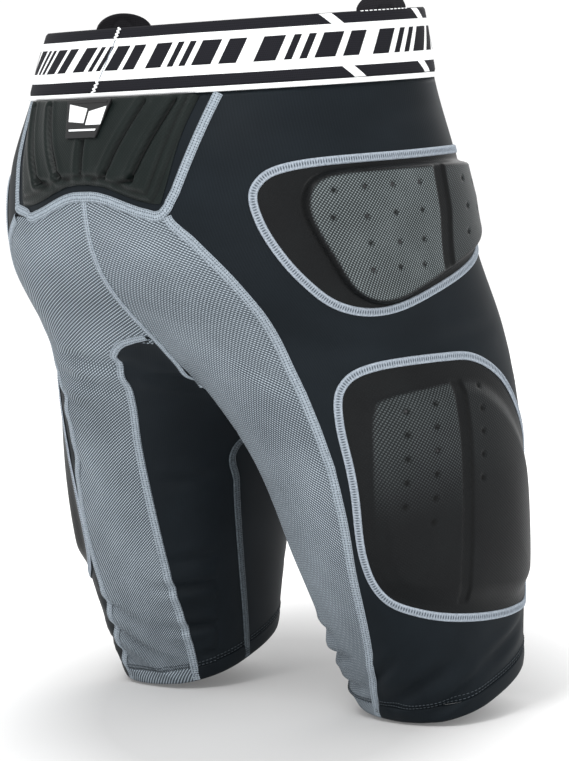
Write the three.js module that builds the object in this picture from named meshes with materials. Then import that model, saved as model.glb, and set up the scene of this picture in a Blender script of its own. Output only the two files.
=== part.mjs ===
// Padded impact shorts: compression shorts with foam pads at the tail bone, hips and thighs.
// Millimetres, +Z up. The origin is the centre of the waist opening, the front faces -Y and
// the wearer's right is at -X. The garment keeps the shape that it has when it is worn.
import * as THREE from "three";

// ---- Driving dimensions ----
const BAND_HEIGHT = 46; // woven elastic waistband
const PIPING_HEIGHT = 3.5;
const BAND_THICK = 2.2;
const FABRIC = 1.1; // thickness of a stretch panel
const GAP = 0.3; // clearance between pieces that touch
const LAYER_GAP = 0.95; // clearance between layers that lie on each other
const PAD_GAP = 1.75; // clearance under the middle of a pad, whose flat faces sag below the curve
const PANEL_SLIT = 1.5; // clearance between two panels, which a seam covers
const HEM_HEIGHT = 12; // turned-up hem
const HEM_THICK = 2;
const HEM_Z = -490;
const CROTCH_Z = -292; // the join of the legs
const LEG_LINE_SLOPE = 0.36; // the crease between hip and leg rises outwards
const FLEX_GAP = 1.2; // clearance above the flex ring, and half of it below
const LEG_GAP = 4; // the flex ring starts this far below the crease line
const HIP_PAD_THICK = 8;
const THIGH_PAD_THICK = 9;
const LUMBAR_PAD_THICK = 5;
const LUMBAR_INSET = 3; // from the yoke's edges
const COVER_THICK = 0.8;
const SEAM_LIFT = 1.2; // a seam lies this far above the panels' flat faces
const COVER_LIFT = 1.45; // and a cover's rim this far
const SEAM_WIDTH = 6;
const SEAM_THICK = 1;
const YOKE_BOTTOM_Z = -122;
const TAB_WIDTH = 46; // webbing pull tabs in the waistband, one near each hip
const TAB_RISE = 12;
const TAB_DEPTH = 24;
const TAB_THICK = 2;
const TAB_PLACE = 0.259; // from the back along the band, as a share of its length
const BAND_CREEP = -0.011; // how far the worn band has turned, as the same share
const TAB_SHOULDER = 3; // how far below the band's top a tab's arch starts
const TAB_GAP = 2; // how far inside the waistband's middle a tab lies
const LABEL_TOP_WIDTH = 46;
const LABEL_BOTTOM_WIDTH = 31;
const LABEL_HEIGHT = 28;
const LABEL_THICK = 1.2;
const LABEL_DROP = 3; // below the piping
const LEG_PIVOT = { y: -30, z: -255 }; // hinge line of both legs, along X
const LEG_FORWARD_DEG = 25; // how far a leg swings forward

// Loft stations, from the waist to the hem: height, then for one side the centre of its lobe
// (out and back), its half width, its radius to the back and its radius to the front.
const STATIONS = [
  { z: 0, out: 0, back: 10, half: 144, rear: 112, front: 97 },
  { z: -45, out: 4, back: 13, half: 149, rear: 129, front: 106 },
  { z: -100, out: 18, back: 15, half: 152, rear: 146, front: 116 },
  { z: -170, out: 39, back: 8, half: 137, rear: 148, front: 119 },
  { z: -235, out: 67, back: -16, half: 108, rear: 129, front: 114 },
  { z: -300, out: 99, back: -19, half: 89, rear: 103, front: 100 },
  { z: -380, out: 117, back: -19, half: 77, rear: 79, front: 85 },
  { z: HEM_Z, out: 127, back: -25, half: 58, rear: 44, front: 72 },
];
const LOBE_POWER = 2.3; // 2 is an ellipse, more is squarer
const LOBE_BLEND = 0.06; // rounds the join of the two lobes at the middle
const HEM_TILT = 0.33; // the hem rises towards the front
const HEM_CANT = -0.036;
const TILT_START_Z = -220;
const WAIST_TILT = 0.022;

// Panel edges on one side, as height and angle: 0 points outwards, 90 back, 180 inwards.
const BACK_EDGE = [
  [-48, 50], [-68, 55], [-92, 61], [-115, 67], [-134, 70], [-154, 67], [-176, 63], [-200, 62],
  [-236, 65], [-290, 69], [-368, 75], [-444, 84], [HEM_Z, 90],
];
const INNER_BACK_EDGE = [
  [-232, 104], [-266, 106], [-306, 112], [-384, 123], [-430, 131], [HEM_Z, 140],
];
const INNER_FRONT_EDGE = [[CROTCH_Z, 170], [-310, 158], [-340, 161], [-404, 171], [HEM_Z, 184]];
const FRONT_EDGE = [[-48, -56], [-200, -62], [HEM_Z, -72]];

// Pocket outlines on one side, as angle and height.
const HIP_POCKET = [
  [-30, -101], [0, -101], [34, -103], [46, -115], [48, -140], [44, -180], [38, -202],
  [24, -207], [0, -195], [-30, -174], [-50, -152], [-54, -122], [-44, -104],
];
const THIGH_POCKET = [
  [9, -244], [38, -245], [52, -256], [59, -280], [63, -320], [67, -364], [62, -390], [44, -405],
  [10, -422], [-25, -436], [-46, -440], [-56, -422], [-57, -380], [-52, -330], [-38, -292],
  [-24, -264], [-8, -248],
];

const RAD = Math.PI / 180;
const lerp = THREE.MathUtils.lerp;
const clamp = THREE.MathUtils.clamp;
const smooth = (t) => THREE.MathUtils.smoothstep(t, 0, 1);

const COLOURS = {
  mesh: [0x78848e, 0.8],
  lycra: [0x25292c, 0.6],
  moulded: [0x2a2f2f, 0.55],
  cover: [0x1e1c1c, 0.5],
  foam: [0x3a3a3c, 0.9],
  thread: [0x969ea8, 0.8],
  band: [0xf4f6f8, 0.8],
  webbing: [0x232226, 0.8],
};

// ---- The lofted surface ----
// A smooth curve through [x, value] pairs, held straight past its ends.
function curveThrough(pairs) {
  const points = [...pairs].sort((a, b) => a[0] - b[0]);
  const last = points.length - 1;
  const chord = (i) => (points[i + 1][1] - points[i][1]) / (points[i + 1][0] - points[i][0]);
  const slopes = points.map((_, i) => {
    if (i === 0) return chord(0);
    if (i === last) return chord(last - 1);
    const before = points[i][0] - points[i - 1][0];
    const after = points[i + 1][0] - points[i][0];
    return (chord(i - 1) * after + chord(i) * before) / (before + after);
  });
  return (x) => {
    if (x <= points[0][0]) return points[0][1] + slopes[0] * (x - points[0][0]);
    if (x >= points[last][0]) return points[last][1] + slopes[last] * (x - points[last][0]);
    let i = 0;
    while (x > points[i + 1][0]) i += 1;
    const span = points[i + 1][0] - points[i][0];
    const t = (x - points[i][0]) / span;
    const rise = points[i + 1][1] - points[i][1];
    const h01 = t * t * (3 - 2 * t);
    return (
      points[i][1] +
      rise * h01 +
      span * (slopes[i] * t * (1 - t) * (1 - t) - slopes[i + 1] * t * t * (1 - t))
    );
  };
}

const loft = {};
for (const key of ["out", "back", "half", "rear", "front"])
  loft[key] = curveThrough(STATIONS.map((s) => [s.z, s[key]]));
const backEdge = curveThrough(BACK_EDGE);
const innerBackEdge = curveThrough(INNER_BACK_EDGE);
const innerFrontEdge = curveThrough(INNER_FRONT_EDGE);
const frontEdge = curveThrough(FRONT_EDGE);

// One height's section: centre and radii, worked out once.
function sectionAt(z) {
  const low = Math.min(z, 0);
  return {
    out: Math.max(loft.out(low), 0),
    back: loft.back(low),
    half: loft.half(low),
    rear: loft.rear(low),
    front: loft.front(low),
  };
}

const FAR = 300; // farther than any point of the surface from its lobe's centre
const HALVINGS = 26;

// Below 1 inside the garment's section, above 1 outside it.
function reach(section, x, y) {
  const depth = Math.abs((y - section.back) / (y > section.back ? section.rear : section.front));
  const lobe = (side) =>
    (Math.abs((side * x - section.out) / section.half) ** LOBE_POWER + depth ** LOBE_POWER) **
    (1 / LOBE_POWER);
  const a = lobe(1);
  const b = lobe(-1);
  const least = Math.min(a, b);
  return (
    least -
    LOBE_BLEND * Math.log(Math.exp((least - a) / LOBE_BLEND) + Math.exp((least - b) / LOBE_BLEND))
  );
}

function bisect(inside, low, high) {
  for (let i = 0; i < HALVINGS; i += 1) {
    const middle = (low + high) / 2;
    if (inside(middle)) low = middle;
    else high = middle;
  }
  return low;
}

// The angle at which the surface meets the middle plane, at the back (1) or the front (-1).
function middleAngle(z, direction) {
  const section = sectionAt(z);
  if (reach(section, 0, section.back) >= 1) return 180 * direction;
  const depth = bisect((d) => reach(section, 0, section.back + direction * d) < 1, 0, FAR);
  return Math.atan2(direction * depth, -section.out) / RAD;
}

// The angle, held between the middle plane's front and back wherever the section is open there.
const SURELY_OUTSIDE = 85;
function onThisSide(angle, z) {
  if (Math.abs(angle) < SURELY_OUTSIDE) return angle;
  const limit = middleAngle(z, Math.sign(angle));
  return Math.abs(limit) < 180 && Math.abs(angle) > Math.abs(limit) ? limit : angle;
}

// Point of the bare surface on the +X side.
function bare(asked, z) {
  const section = sectionAt(z);
  const angle = onThisSide(asked, Math.min(z, 0));
  const cos = Math.cos(angle * RAD);
  const sin = Math.sin(angle * RAD);
  const limit = cos < -1e-9 ? section.out / -cos : FAR;
  const radius = bisect(
    (r) => reach(section, section.out + r * cos, section.back + r * sin) < 1,
    0,
    Math.min(limit, FAR),
  );
  const x = section.out + radius * cos;
  const y = section.back + radius * sin;
  const hemShare = smooth(clamp((TILT_START_Z - z) / (TILT_START_Z - HEM_Z), 0, 1));
  const waistShare = smooth(clamp((z + 100) / 100, 0, 1));
  const tilt = HEM_CANT * (x - loft.out(HEM_Z)) - HEM_TILT * (y - loft.back(HEM_Z));
  return new THREE.Vector3(x, y, z + hemShare * tilt - waistShare * WAIST_TILT * y);
}

// The surface's outward normal, from points a small step apart.
const STEP = { angle: 0.6, z: 1 };
const AT_MIDDLE = 0.2; // this near to the middle plane, the normal lies in it
function outward(angle, z) {
  const across = bare(angle + STEP.angle, z).sub(bare(angle - STEP.angle, z));
  const down = bare(angle, z - STEP.z).sub(bare(angle, z + STEP.z));
  const normal = down.cross(across);
  if (bare(angle, z).x < AT_MIDDLE) normal.x = 0;
  return normal.normalize();
}

// Point of the surface, moved out along its normal. side is 1 for the left, -1 for the right.
function at(side, angle, z, offset) {
  const point = bare(angle, z).addScaledVector(outward(angle, z), offset);
  point.x = Math.max(point.x, GAP / 2);
  point.x *= side;
  return point;
}

// ---- The crease between hip and leg ----
const tanForward = Math.tan(LEG_FORWARD_DEG * RAD);
const cosForward = Math.cos(LEG_FORWARD_DEG * RAD);
const creaseHeight = (point) => CROTCH_Z + LEG_LINE_SLOPE * point.x;

// The lowest that hip pieces may reach, so that the leg clears them at every angle.
function hipHeight(point) {
  const crease = creaseHeight(point);
  const swept =
    LEG_PIVOT.z + (crease - LEG_PIVOT.z) / cosForward + tanForward * (LEG_PIVOT.y - point.y);
  return Math.max(crease, swept) + GAP;
}
const legHeight = (point) => creaseHeight(point) - LEG_GAP;

// The loft height at which the surface crosses a line given as height of a point.
function crossing(angle, line, from) {
  let z = from;
  for (let i = 0; i < 14; i += 1) {
    const point = bare(angle, z);
    z += 0.7 * (line(point) - point.z);
  }
  return z;
}

// ---- Solids ----
function volumeOf(positions, faces) {
  const corner = (i) => new THREE.Vector3().fromArray(positions, 3 * i);
  return faces.reduce((sum, [a, b, c]) => sum + corner(a).dot(corner(b).cross(corner(c))), 0);
}

function meshOf(name, finish, positions, faces) {
  const turned = volumeOf(positions, faces) < 0 ? faces.map(([a, b, c]) => [a, c, b]) : faces;
  const geometry = new THREE.BufferGeometry();
  geometry.setAttribute("position", new THREE.Float32BufferAttribute(positions, 3));
  geometry.setIndex(turned.flat());
  geometry.computeVertexNormals();
  const [color, roughness] = COLOURS[finish];
  const mesh = new THREE.Mesh(
    geometry,
    new THREE.MeshStandardMaterial({ color, roughness, metalness: 0 }),
  );
  mesh.name = name;
  return mesh;
}

// A closed sheet between two layers of points, layer(row, column, top) for both.
// loop joins the last column to the first; hub closes row 0 to one point.
function sheet(name, finish, rows, columns, layer, { loop = false, hub = null } = {}) {
  const wide = loop ? columns : columns + 1;
  const positions = [];
  for (const top of [true, false])
    for (let i = 0; i <= rows; i += 1)
      for (let j = 0; j < wide; j += 1) positions.push(...layer(i, j, top).toArray());
  const id = (top, i, j) => (top ? 0 : (rows + 1) * wide) + i * wide + (j % wide);
  const faces = [];
  const quad = (a, b, c, d) => faces.push([a, b, c], [a, c, d]);
  for (let j = 0; j < columns; j += 1) {
    for (let i = 0; i < rows; i += 1) {
      quad(id(true, i, j), id(true, i, j + 1), id(true, i + 1, j + 1), id(true, i + 1, j));
      quad(id(false, i, j), id(false, i + 1, j), id(false, i + 1, j + 1), id(false, i, j + 1));
    }
    quad(id(true, rows, j), id(true, rows, j + 1), id(false, rows, j + 1), id(false, rows, j));
    if (!hub) quad(id(true, 0, j + 1), id(true, 0, j), id(false, 0, j), id(false, 0, j + 1));
  }
  if (!loop)
    for (let i = 0; i < rows; i += 1) {
      quad(id(true, i, 0), id(true, i + 1, 0), id(false, i + 1, 0), id(false, i, 0));
      quad(
        id(true, i + 1, columns),
        id(true, i, columns),
        id(false, i, columns),
        id(false, i + 1, columns),
      );
    }
  if (hub) {
    const centre = positions.length / 3;
    positions.push(...hub(true).toArray(), ...hub(false).toArray());
    for (let j = 0; j < columns; j += 1) {
      faces.push([centre, id(true, 0, j + 1), id(true, 0, j)]);
      faces.push([centre + 1, id(false, 0, j), id(false, 0, j + 1)]);
    }
  }
  return meshOf(name, finish, positions, faces);
}

// A panel between two edges (angle at a height) and two lines (height at an angle).
function panel(name, finish, side, size, edges, lines, thick = FABRIC) {
  const [rows, columns] = size;
  const nodes = [];
  for (let i = 0; i <= rows; i += 1)
    for (let j = 0; j <= columns; j += 1) {
      let z = -250;
      let angle = 0;
      for (let k = 0; k < 8; k += 1) {
        angle = lerp(edges[0](z), edges[1](z), j / columns);
        z = lerp(lines[0](angle, z), lines[1](angle, z), i / rows);
      }
      nodes.push([angle, z]);
    }
  return sheet(name, finish, rows, columns, (i, j, top) => {
    const [angle, z] = nodes[i * (columns + 1) + j];
    return at(side, angle, z, top ? 0 : -thick);
  });
}

// A point on the torso's ring: 0 is the centre front, 0.5 the centre back, by the left side.
function around(turn, z, offset) {
  const t = turn - Math.floor(turn);
  const side = t < 0.5 ? 1 : -1;
  const share = t < 0.5 ? 2 * t : 2 - 2 * t;
  const angle = lerp(middleAngle(Math.min(z, 0), -1), middleAngle(Math.min(z, 0), 1), share);
  const point = bare(angle, z).addScaledVector(outward(angle, Math.min(z, -1)), offset);
  point.x *= side;
  if (share < 1e-6 || share > 1 - 1e-6) point.x = 0;
  return point;
}

function ring(name, finish, columns, heights, offsets) {
  return sheet(
    name,
    finish,
    heights.length - 1,
    columns,
    (i, j, top) => around(j / columns, heights[i], offsets[top ? 0 : 1]),
    { loop: true },
  );
}

// A flat strip along a path of {point, normal}; it lies from low to high above the surface.
function strip(name, finish, path, width, low, high, loop = false) {
  const count = path.length;
  const frames = path.map(({ point, normal }, i) => {
    const next = path[loop ? (i + 1) % count : Math.min(i + 1, count - 1)].point;
    const last = path[loop ? (i + count - 1) % count : Math.max(i - 1, 0)].point;
    const across = new THREE.Vector3().crossVectors(normal, next.clone().sub(last)).normalize();
    return { point, normal, across };
  });
  const layer = (i, j, top) => {
    const { point, normal, across } = frames[j];
    return point
      .clone()
      .addScaledVector(across, (i - 0.5) * width)
      .addScaledVector(normal, top ? high : low);
  };
  return sheet(name, finish, 1, loop ? count : count - 1, layer, { loop });
}

// A path on one side through [angle, z] pairs.
function pathOn(side, pairs) {
  return pairs.map(([angle, z]) => {
    const point = at(side, angle, z, 0);
    const normal = outward(angle, z);
    normal.x *= side;
    return { point, normal };
  });
}

// A path down the middle plane, at the back (1) or the front (-1).
function middlePath(direction, heights) {
  return heights.map((z) => {
    const spot = (h) => {
      const angle = middleAngle(h, direction);
      const point = bare(angle, h);
      point.x = 0;
      return point;
    };
    const along = spot(z - 1).sub(spot(z + 1)).normalize();
    const normal = new THREE.Vector3(0, -along.z * direction, along.y * direction).normalize();
    if (normal.y * direction < 0) normal.negate();
    return { point: spot(z), normal };
  });
}

function span(from, to, count) {
  return Array.from({ length: count + 1 }, (_, i) => lerp(from, to, i / count));
}

// ---- Padded pockets ----
function outlineOf(pairs) {
  const curve = new THREE.CatmullRomCurve3(
    pairs.map(([angle, z]) => new THREE.Vector3(angle, z, 0)),
    true,
    "centripetal",
  );
  const box = new THREE.Box3().setFromPoints(curve.getPoints(120));
  const centre = box.getCenter(new THREE.Vector3());
  return (share, t) => {
    const p = curve.getPoint(t % 1).sub(centre).multiplyScalar(share).add(centre);
    return [p.x, p.y];
  };
}

// Rings are shares of the pocket's outline. The cover shares the pad's rings, so they run parallel.
const POCKET_SIDES = 24;
const PAD_RINGS = [0.25, 0.5, 0.7, 0.78];
const PAD_CROWN = [1, 1, 0.9, 0.45];
function pad(name, side, outline, thick) {
  const spot = (share, t, crown, top) => {
    const [angle, z] = outline(share, t);
    return at(side, angle, z, PAD_GAP + (top ? crown * thick : 0));
  };
  return sheet(
    name,
    "foam",
    PAD_RINGS.length - 1,
    POCKET_SIDES,
    (i, j, top) => spot(PAD_RINGS[i], j / POCKET_SIDES, PAD_CROWN[i], top),
    { loop: true, hub: (top) => spot(0, 0, 1, top) },
  );
}

// The cover stands over the pad and comes down to the panel at its rim.
const COVER_RINGS = [0.25, 0.5, 0.7, 0.8, 0.85, 0.9];
const COVER_RISE = [1, 1, 1, 0.95, 0.35, 0];
function pocket(name, side, outline, thick) {
  const spot = (share, t, rise, top) => {
    const [angle, z] = outline(share, t);
    const height = COVER_LIFT + rise * (PAD_GAP + thick);
    return at(side, angle, z, height + (top ? COVER_THICK : 0));
  };
  return sheet(
    name,
    "cover",
    COVER_RINGS.length - 1,
    POCKET_SIDES,
    (i, j, top) => spot(COVER_RINGS[i], j / POCKET_SIDES, COVER_RISE[i], top),
    { loop: true, hub: (top) => spot(0, 0, 1, top) },
  );
}

function pocketSeam(name, side, outline) {
  const steps = 2 * POCKET_SIDES;
  const pairs = Array.from({ length: steps }, (_, j) => outline(1, j / steps));
  return strip(name, "thread", pathOn(side, pairs), SEAM_WIDTH, seamLow, seamHigh, true);
}

// ---- Waist, back yoke and centre seams ----
const panelTop = -(BAND_HEIGHT + PIPING_HEIGHT + 2 * GAP);
const seamLow = SEAM_LIFT;
const seamHigh = SEAM_LIFT + SEAM_THICK;

function pullTab(name, middleTurn) {
  const columns = 8;
  const waist = 0.5 * Math.PI * (STATIONS[0].half + STATIONS[0].rear);
  const share = TAB_WIDTH / (2 * waist);
  const arch = (c) => Math.sqrt(Math.max(0, 1 - (2 * c - 1) ** 2));
  const topOf = (c) => -TAB_SHOULDER + (TAB_RISE + TAB_SHOULDER) * arch(c);
  return sheet(name, "webbing", 4, columns, (i, j, top) => {
    const c = j / columns;
    const z = lerp(topOf(c), -TAB_DEPTH, i / 4);
    return around(middleTurn + (c - 0.5) * share, z, -TAB_GAP - (top ? 0 : TAB_THICK));
  });
}

// A patch that crosses the middle of the back, between the two back edges.
function backPatch(name, finish, size, heights, inset, offsets) {
  const [rows, columns] = size;
  return sheet(name, finish, rows, columns, (i, j, top) => {
    const z = lerp(heights[0], heights[1], i / rows);
    const c = (2 * j) / columns - 1;
    const side = c < 0 ? -1 : 1;
    const angle = lerp(middleAngle(z, 1), backEdge(z) + inset, Math.abs(c));
    const point = bare(angle, z).addScaledVector(outward(angle, z), offsets[top ? 0 : 1]);
    point.x *= side;
    if (j * 2 === columns) point.x = 0;
    return point;
  });
}

function lumbarSeam() {
  const edgeHeights = span(panelTop - 1, YOKE_BOTTOM_Z - 4, 8);
  const right = pathOn(-1, edgeHeights.map((z) => [backEdge(z), z]));
  const left = pathOn(1, edgeHeights.map((z) => [backEdge(z), z])).reverse();
  const low = YOKE_BOTTOM_Z - 4;
  const shares = [0.2, 0.45, 0.7, 0.9];
  const bottom = (side) =>
    pathOn(side, shares.map((s) => [lerp(backEdge(low), middleAngle(low, 1), s), low + 2 * s]));
  const path = [...right, ...bottom(-1), ...bottom(1).reverse(), ...left];
  return strip("lumbar_seam", "thread", path, SEAM_WIDTH, seamLow, seamHigh);
}

function labelPatch() {
  const shape = new THREE.Shape();
  shape.moveTo(-LABEL_TOP_WIDTH / 2, 0);
  shape.lineTo(-LABEL_BOTTOM_WIDTH / 2, -LABEL_HEIGHT);
  shape.lineTo(LABEL_BOTTOM_WIDTH / 2, -LABEL_HEIGHT);
  shape.lineTo(LABEL_TOP_WIDTH / 2, 0);
  const geometry = new THREE.ExtrudeGeometry(shape, { depth: LABEL_THICK, bevelEnabled: false });
  const [color, roughness] = COLOURS.cover;
  const material = new THREE.MeshStandardMaterial({ color, roughness });
  const mesh = new THREE.Mesh(geometry, material);
  mesh.name = "label_patch";
  const top = middlePath(1, [panelTop - LABEL_DROP])[0].point;
  const bottom = middlePath(1, [panelTop - LABEL_DROP - LABEL_HEIGHT])[0].point;
  const up = top.clone().sub(bottom).normalize();
  const out = new THREE.Vector3(0, up.z, -up.y);
  const basis = new THREE.Matrix4().makeBasis(new THREE.Vector3(-1, 0, 0), up, out);
  mesh.quaternion.setFromRotationMatrix(basis);
  mesh.position.copy(top).addScaledVector(out, LUMBAR_PAD_THICK + 2 * LAYER_GAP);
  return mesh;
}

// ---- Assembly ----
const hipPocket = outlineOf(HIP_POCKET);
const thighPocket = outlineOf(THIGH_POCKET);
const at0 = (height) => () => height;
const hipLine = (angle, z) => crossing(angle, hipHeight, z);
const legLine = (angle, z) => crossing(angle, legHeight, z);
const hemLine = at0(HEM_Z + HEM_HEIGHT + GAP);
// Half of the clearance between two panels, as an angle at a height.
const slit = (z) => PANEL_SLIT / 2 / loft.half(z) / RAD;

function pelvis() {
  const group = new THREE.Group();
  const bandLow = -BAND_HEIGHT;
  group.add(
    ring("waistband", "band", 48, [0, bandLow / 2, bandLow], [BAND_THICK - GAP, -GAP]),
    ring(
      "waist_piping",
      "band",
      48,
      [bandLow - GAP, bandLow - GAP - PIPING_HEIGHT],
      [BAND_THICK + GAP, -GAP],
    ),
    pullTab("pull_tab_left", 0.5 + BAND_CREEP - TAB_PLACE),
    pullTab("pull_tab_right", 0.5 + BAND_CREEP + TAB_PLACE),
    backPatch("lumbar_lining", "lycra", [5, 20], [panelTop, YOKE_BOTTOM_Z], 0.6, [0, -FABRIC]),
    backPatch(
      "lumbar_pad",
      "moulded",
      [6, 20],
      [panelTop - LUMBAR_INSET, YOKE_BOTTOM_Z + LUMBAR_INSET + 1],
      3.5,
      [LAYER_GAP + LUMBAR_PAD_THICK, LAYER_GAP],
    ),
    labelPatch(),
    lumbarSeam(),
    strip(
      "centre_back_seam",
      "thread",
      middlePath(1, span(YOKE_BOTTOM_Z - 8, CROTCH_Z + 34, 12)),
      SEAM_WIDTH,
      seamLow,
      seamHigh,
    ),
    strip(
      "centre_front_seam",
      "thread",
      middlePath(-1, span(panelTop - 1, -205, 8)),
      SEAM_WIDTH,
      seamLow,
      seamHigh,
    ),
  );
  for (const [suffix, side] of [["right", -1], ["left", 1]]) {
    const seamHeights = span(YOKE_BOTTOM_Z - 16, -222, 6);
    group.add(
      panel(
        "seat_panel_" + suffix,
        "mesh",
        side,
        [9, 7],
        [(z) => backEdge(z) + slit(z), (z) => middleAngle(z, 1)],
        [at0(YOKE_BOTTOM_Z - GAP), hipLine],
      ),
      panel(
        "hip_panel_" + suffix,
        "lycra",
        side,
        [14, 14],
        [(z) => frontEdge(z) + slit(z), (z) => backEdge(z) - slit(z)],
        [at0(panelTop), hipLine],
      ),
      panel(
        "front_panel_" + suffix,
        "lycra",
        side,
        [9, 5],
        [(z) => middleAngle(z, -1), (z) => frontEdge(z) - slit(z)],
        [at0(panelTop), hipLine],
      ),
      pad("hip_pad_" + suffix, side, hipPocket, HIP_PAD_THICK),
      pocket("hip_pocket_" + suffix, side, hipPocket, HIP_PAD_THICK),
      pocketSeam("hip_pocket_seam_" + suffix, side, hipPocket),
      strip(
        "seat_seam_" + suffix,
        "thread",
        pathOn(side, seamHeights.map((z) => [backEdge(z), z])),
        SEAM_WIDTH,
        seamLow,
        seamHigh,
      ),
    );
  }
  return group;
}

// The ring of fabric that bends where the leg joins the hips.
function flexRing(name, side) {
  const columns = 36;
  const direction = (angle) => (angle > 0 ? 1 : -1);
  const columnsAt = Array.from({ length: columns }, (_, j) => {
    const angle = -180 + (360 * (j + 0.5)) / columns;
    const bottom = crossing(angle, (p) => legHeight(p) + FLEX_GAP / 2, -260);
    const closing = bisect(
      (drop) => Math.abs(middleAngle(-200 - drop, direction(angle))) < Math.abs(angle),
      0,
      120,
    );
    const ceiling = -200 - closing - FLEX_GAP;
    const top = Math.min(crossing(angle, (p) => hipHeight(p) - FLEX_GAP, -250), ceiling);
    return { angle, bottom, top: Math.max(top, bottom + 1) };
  });
  return sheet(
    name,
    "lycra",
    2,
    columns,
    (i, j, top) => {
      const column = columnsAt[j];
      return at(side, column.angle, lerp(column.top, column.bottom, i / 2), top ? 0 : -FABRIC);
    },
    { loop: true },
  );
}

function leg(suffix, side) {
  const group = new THREE.Group();
  const topOf = (edge) => crossing(edge(-260), legHeight, -260) - 3;
  const legPanel = (name, finish, size, from, to) =>
    panel(name + "_" + suffix, finish, side, size, [from, to], [legLine, hemLine]);
  const legSeam = (name, edge, top) =>
    strip(
      name + "_" + suffix,
      "thread",
      pathOn(side, span(top, HEM_Z + 2, 9).map((z) => [edge(z), z])),
      SEAM_WIDTH,
      seamLow,
      seamHigh,
    );
  const hemHeights = [HEM_Z + HEM_HEIGHT, HEM_Z];
  group.add(
    legPanel(
      "leg_back_panel",
      "mesh",
      [8, 5],
      (z) => backEdge(z) + slit(z),
      (z) => innerBackEdge(z) - slit(z),
    ),
    legPanel(
      "leg_inner_panel",
      "lycra",
      [8, 5],
      (z) => innerBackEdge(z) + slit(z),
      (z) => innerFrontEdge(z) - slit(z),
    ),
    legPanel(
      "leg_front_panel",
      "lycra",
      [8, 9],
      (z) => innerFrontEdge(z) - 360 + slit(z),
      (z) => frontEdge(z) - slit(z),
    ),
    legPanel(
      "leg_side_panel",
      "lycra",
      [9, 12],
      (z) => frontEdge(z) + slit(z),
      (z) => backEdge(z) - slit(z),
    ),
    pad("thigh_pad_" + suffix, side, thighPocket, THIGH_PAD_THICK),
    pocket("thigh_pocket_" + suffix, side, thighPocket, THIGH_PAD_THICK),
    pocketSeam("thigh_pocket_seam_" + suffix, side, thighPocket),
    legSeam("leg_outer_seam", backEdge, topOf(backEdge)),
    legSeam("leg_inner_back_seam", innerBackEdge, topOf(innerBackEdge)),
    legSeam("leg_inner_front_seam", innerFrontEdge, topOf(innerFrontEdge) - 10),
    sheet(
      "hem_band_" + suffix,
      "lycra",
      1,
      36,
      (i, j, top) => at(side, 10 * j, hemHeights[i], top ? GAP : -HEM_THICK),
      { loop: true },
    ),
  );
  return group;
}

const shorts = new THREE.Group();
shorts.add(pelvis(), flexRing("leg_flex_right", -1), flexRing("leg_flex_left", 1));
shorts.add(leg("right", -1), leg("left", 1));

export default shorts;
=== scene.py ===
import math

import bpy
import numpy as np
from mathutils import Matrix, Vector


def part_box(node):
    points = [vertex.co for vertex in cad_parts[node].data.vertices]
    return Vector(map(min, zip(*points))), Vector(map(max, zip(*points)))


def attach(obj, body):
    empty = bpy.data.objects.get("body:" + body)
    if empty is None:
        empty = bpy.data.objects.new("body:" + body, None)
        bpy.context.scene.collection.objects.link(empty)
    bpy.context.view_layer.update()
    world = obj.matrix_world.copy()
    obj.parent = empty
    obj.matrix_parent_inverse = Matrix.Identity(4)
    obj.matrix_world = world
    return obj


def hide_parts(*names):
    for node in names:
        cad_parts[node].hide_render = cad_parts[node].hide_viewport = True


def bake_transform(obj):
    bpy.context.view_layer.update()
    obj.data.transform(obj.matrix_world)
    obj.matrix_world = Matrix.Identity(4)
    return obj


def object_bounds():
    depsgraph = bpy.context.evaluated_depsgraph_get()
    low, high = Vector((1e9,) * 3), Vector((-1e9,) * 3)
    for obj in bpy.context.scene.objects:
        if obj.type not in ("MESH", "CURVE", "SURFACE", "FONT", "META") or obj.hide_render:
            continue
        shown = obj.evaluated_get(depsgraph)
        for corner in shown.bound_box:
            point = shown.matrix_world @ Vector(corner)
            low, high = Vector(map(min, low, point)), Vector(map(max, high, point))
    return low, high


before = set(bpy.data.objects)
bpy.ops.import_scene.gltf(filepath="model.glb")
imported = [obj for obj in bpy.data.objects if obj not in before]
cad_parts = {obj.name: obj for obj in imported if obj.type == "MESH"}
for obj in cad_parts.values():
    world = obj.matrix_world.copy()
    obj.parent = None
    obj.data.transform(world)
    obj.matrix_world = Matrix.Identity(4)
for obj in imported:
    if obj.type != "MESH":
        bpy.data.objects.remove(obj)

CAD_BOX = [list(corner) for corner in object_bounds()]
bpy.context.scene.view_settings.view_transform = "Standard"
MM = 0.001
RAD = math.pi / 180

# ---- The garment's surface, by the same stations as the solids ----
# Height, then for one side the centre of its lobe (out and back), its half width, its radius to
# the back and its radius to the front.
STATIONS = [
    (0, 0, 10, 144, 112, 97),
    (-45, 4, 13, 149, 129, 106),
    (-100, 18, 15, 152, 146, 116),
    (-170, 39, 8, 137, 148, 119),
    (-235, 67, -16, 108, 129, 114),
    (-300, 99, -19, 89, 103, 100),
    (-380, 117, -19, 77, 79, 85),
    (-490, 127, -25, 58, 44, 72),
]
LOBE_POWER = 2.3
LOBE_BLEND = 0.06
HEM_TILT = 0.33
HEM_CANT = -0.036
HEM_Z = -490
TILT_START_Z = -220
WAIST_TILT = 0.022
WAIST_TILT_DEPTH = 100
CROTCH_Z = -292
FAR = 300  # beyond any point of the surface

BAND_HEIGHT = 46
PIPING_HEIGHT = 3.5
PANEL_TOP = -(BAND_HEIGHT + PIPING_HEIGHT)
YOKE_BOTTOM = -122
HEM_HEIGHT = 12

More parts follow.
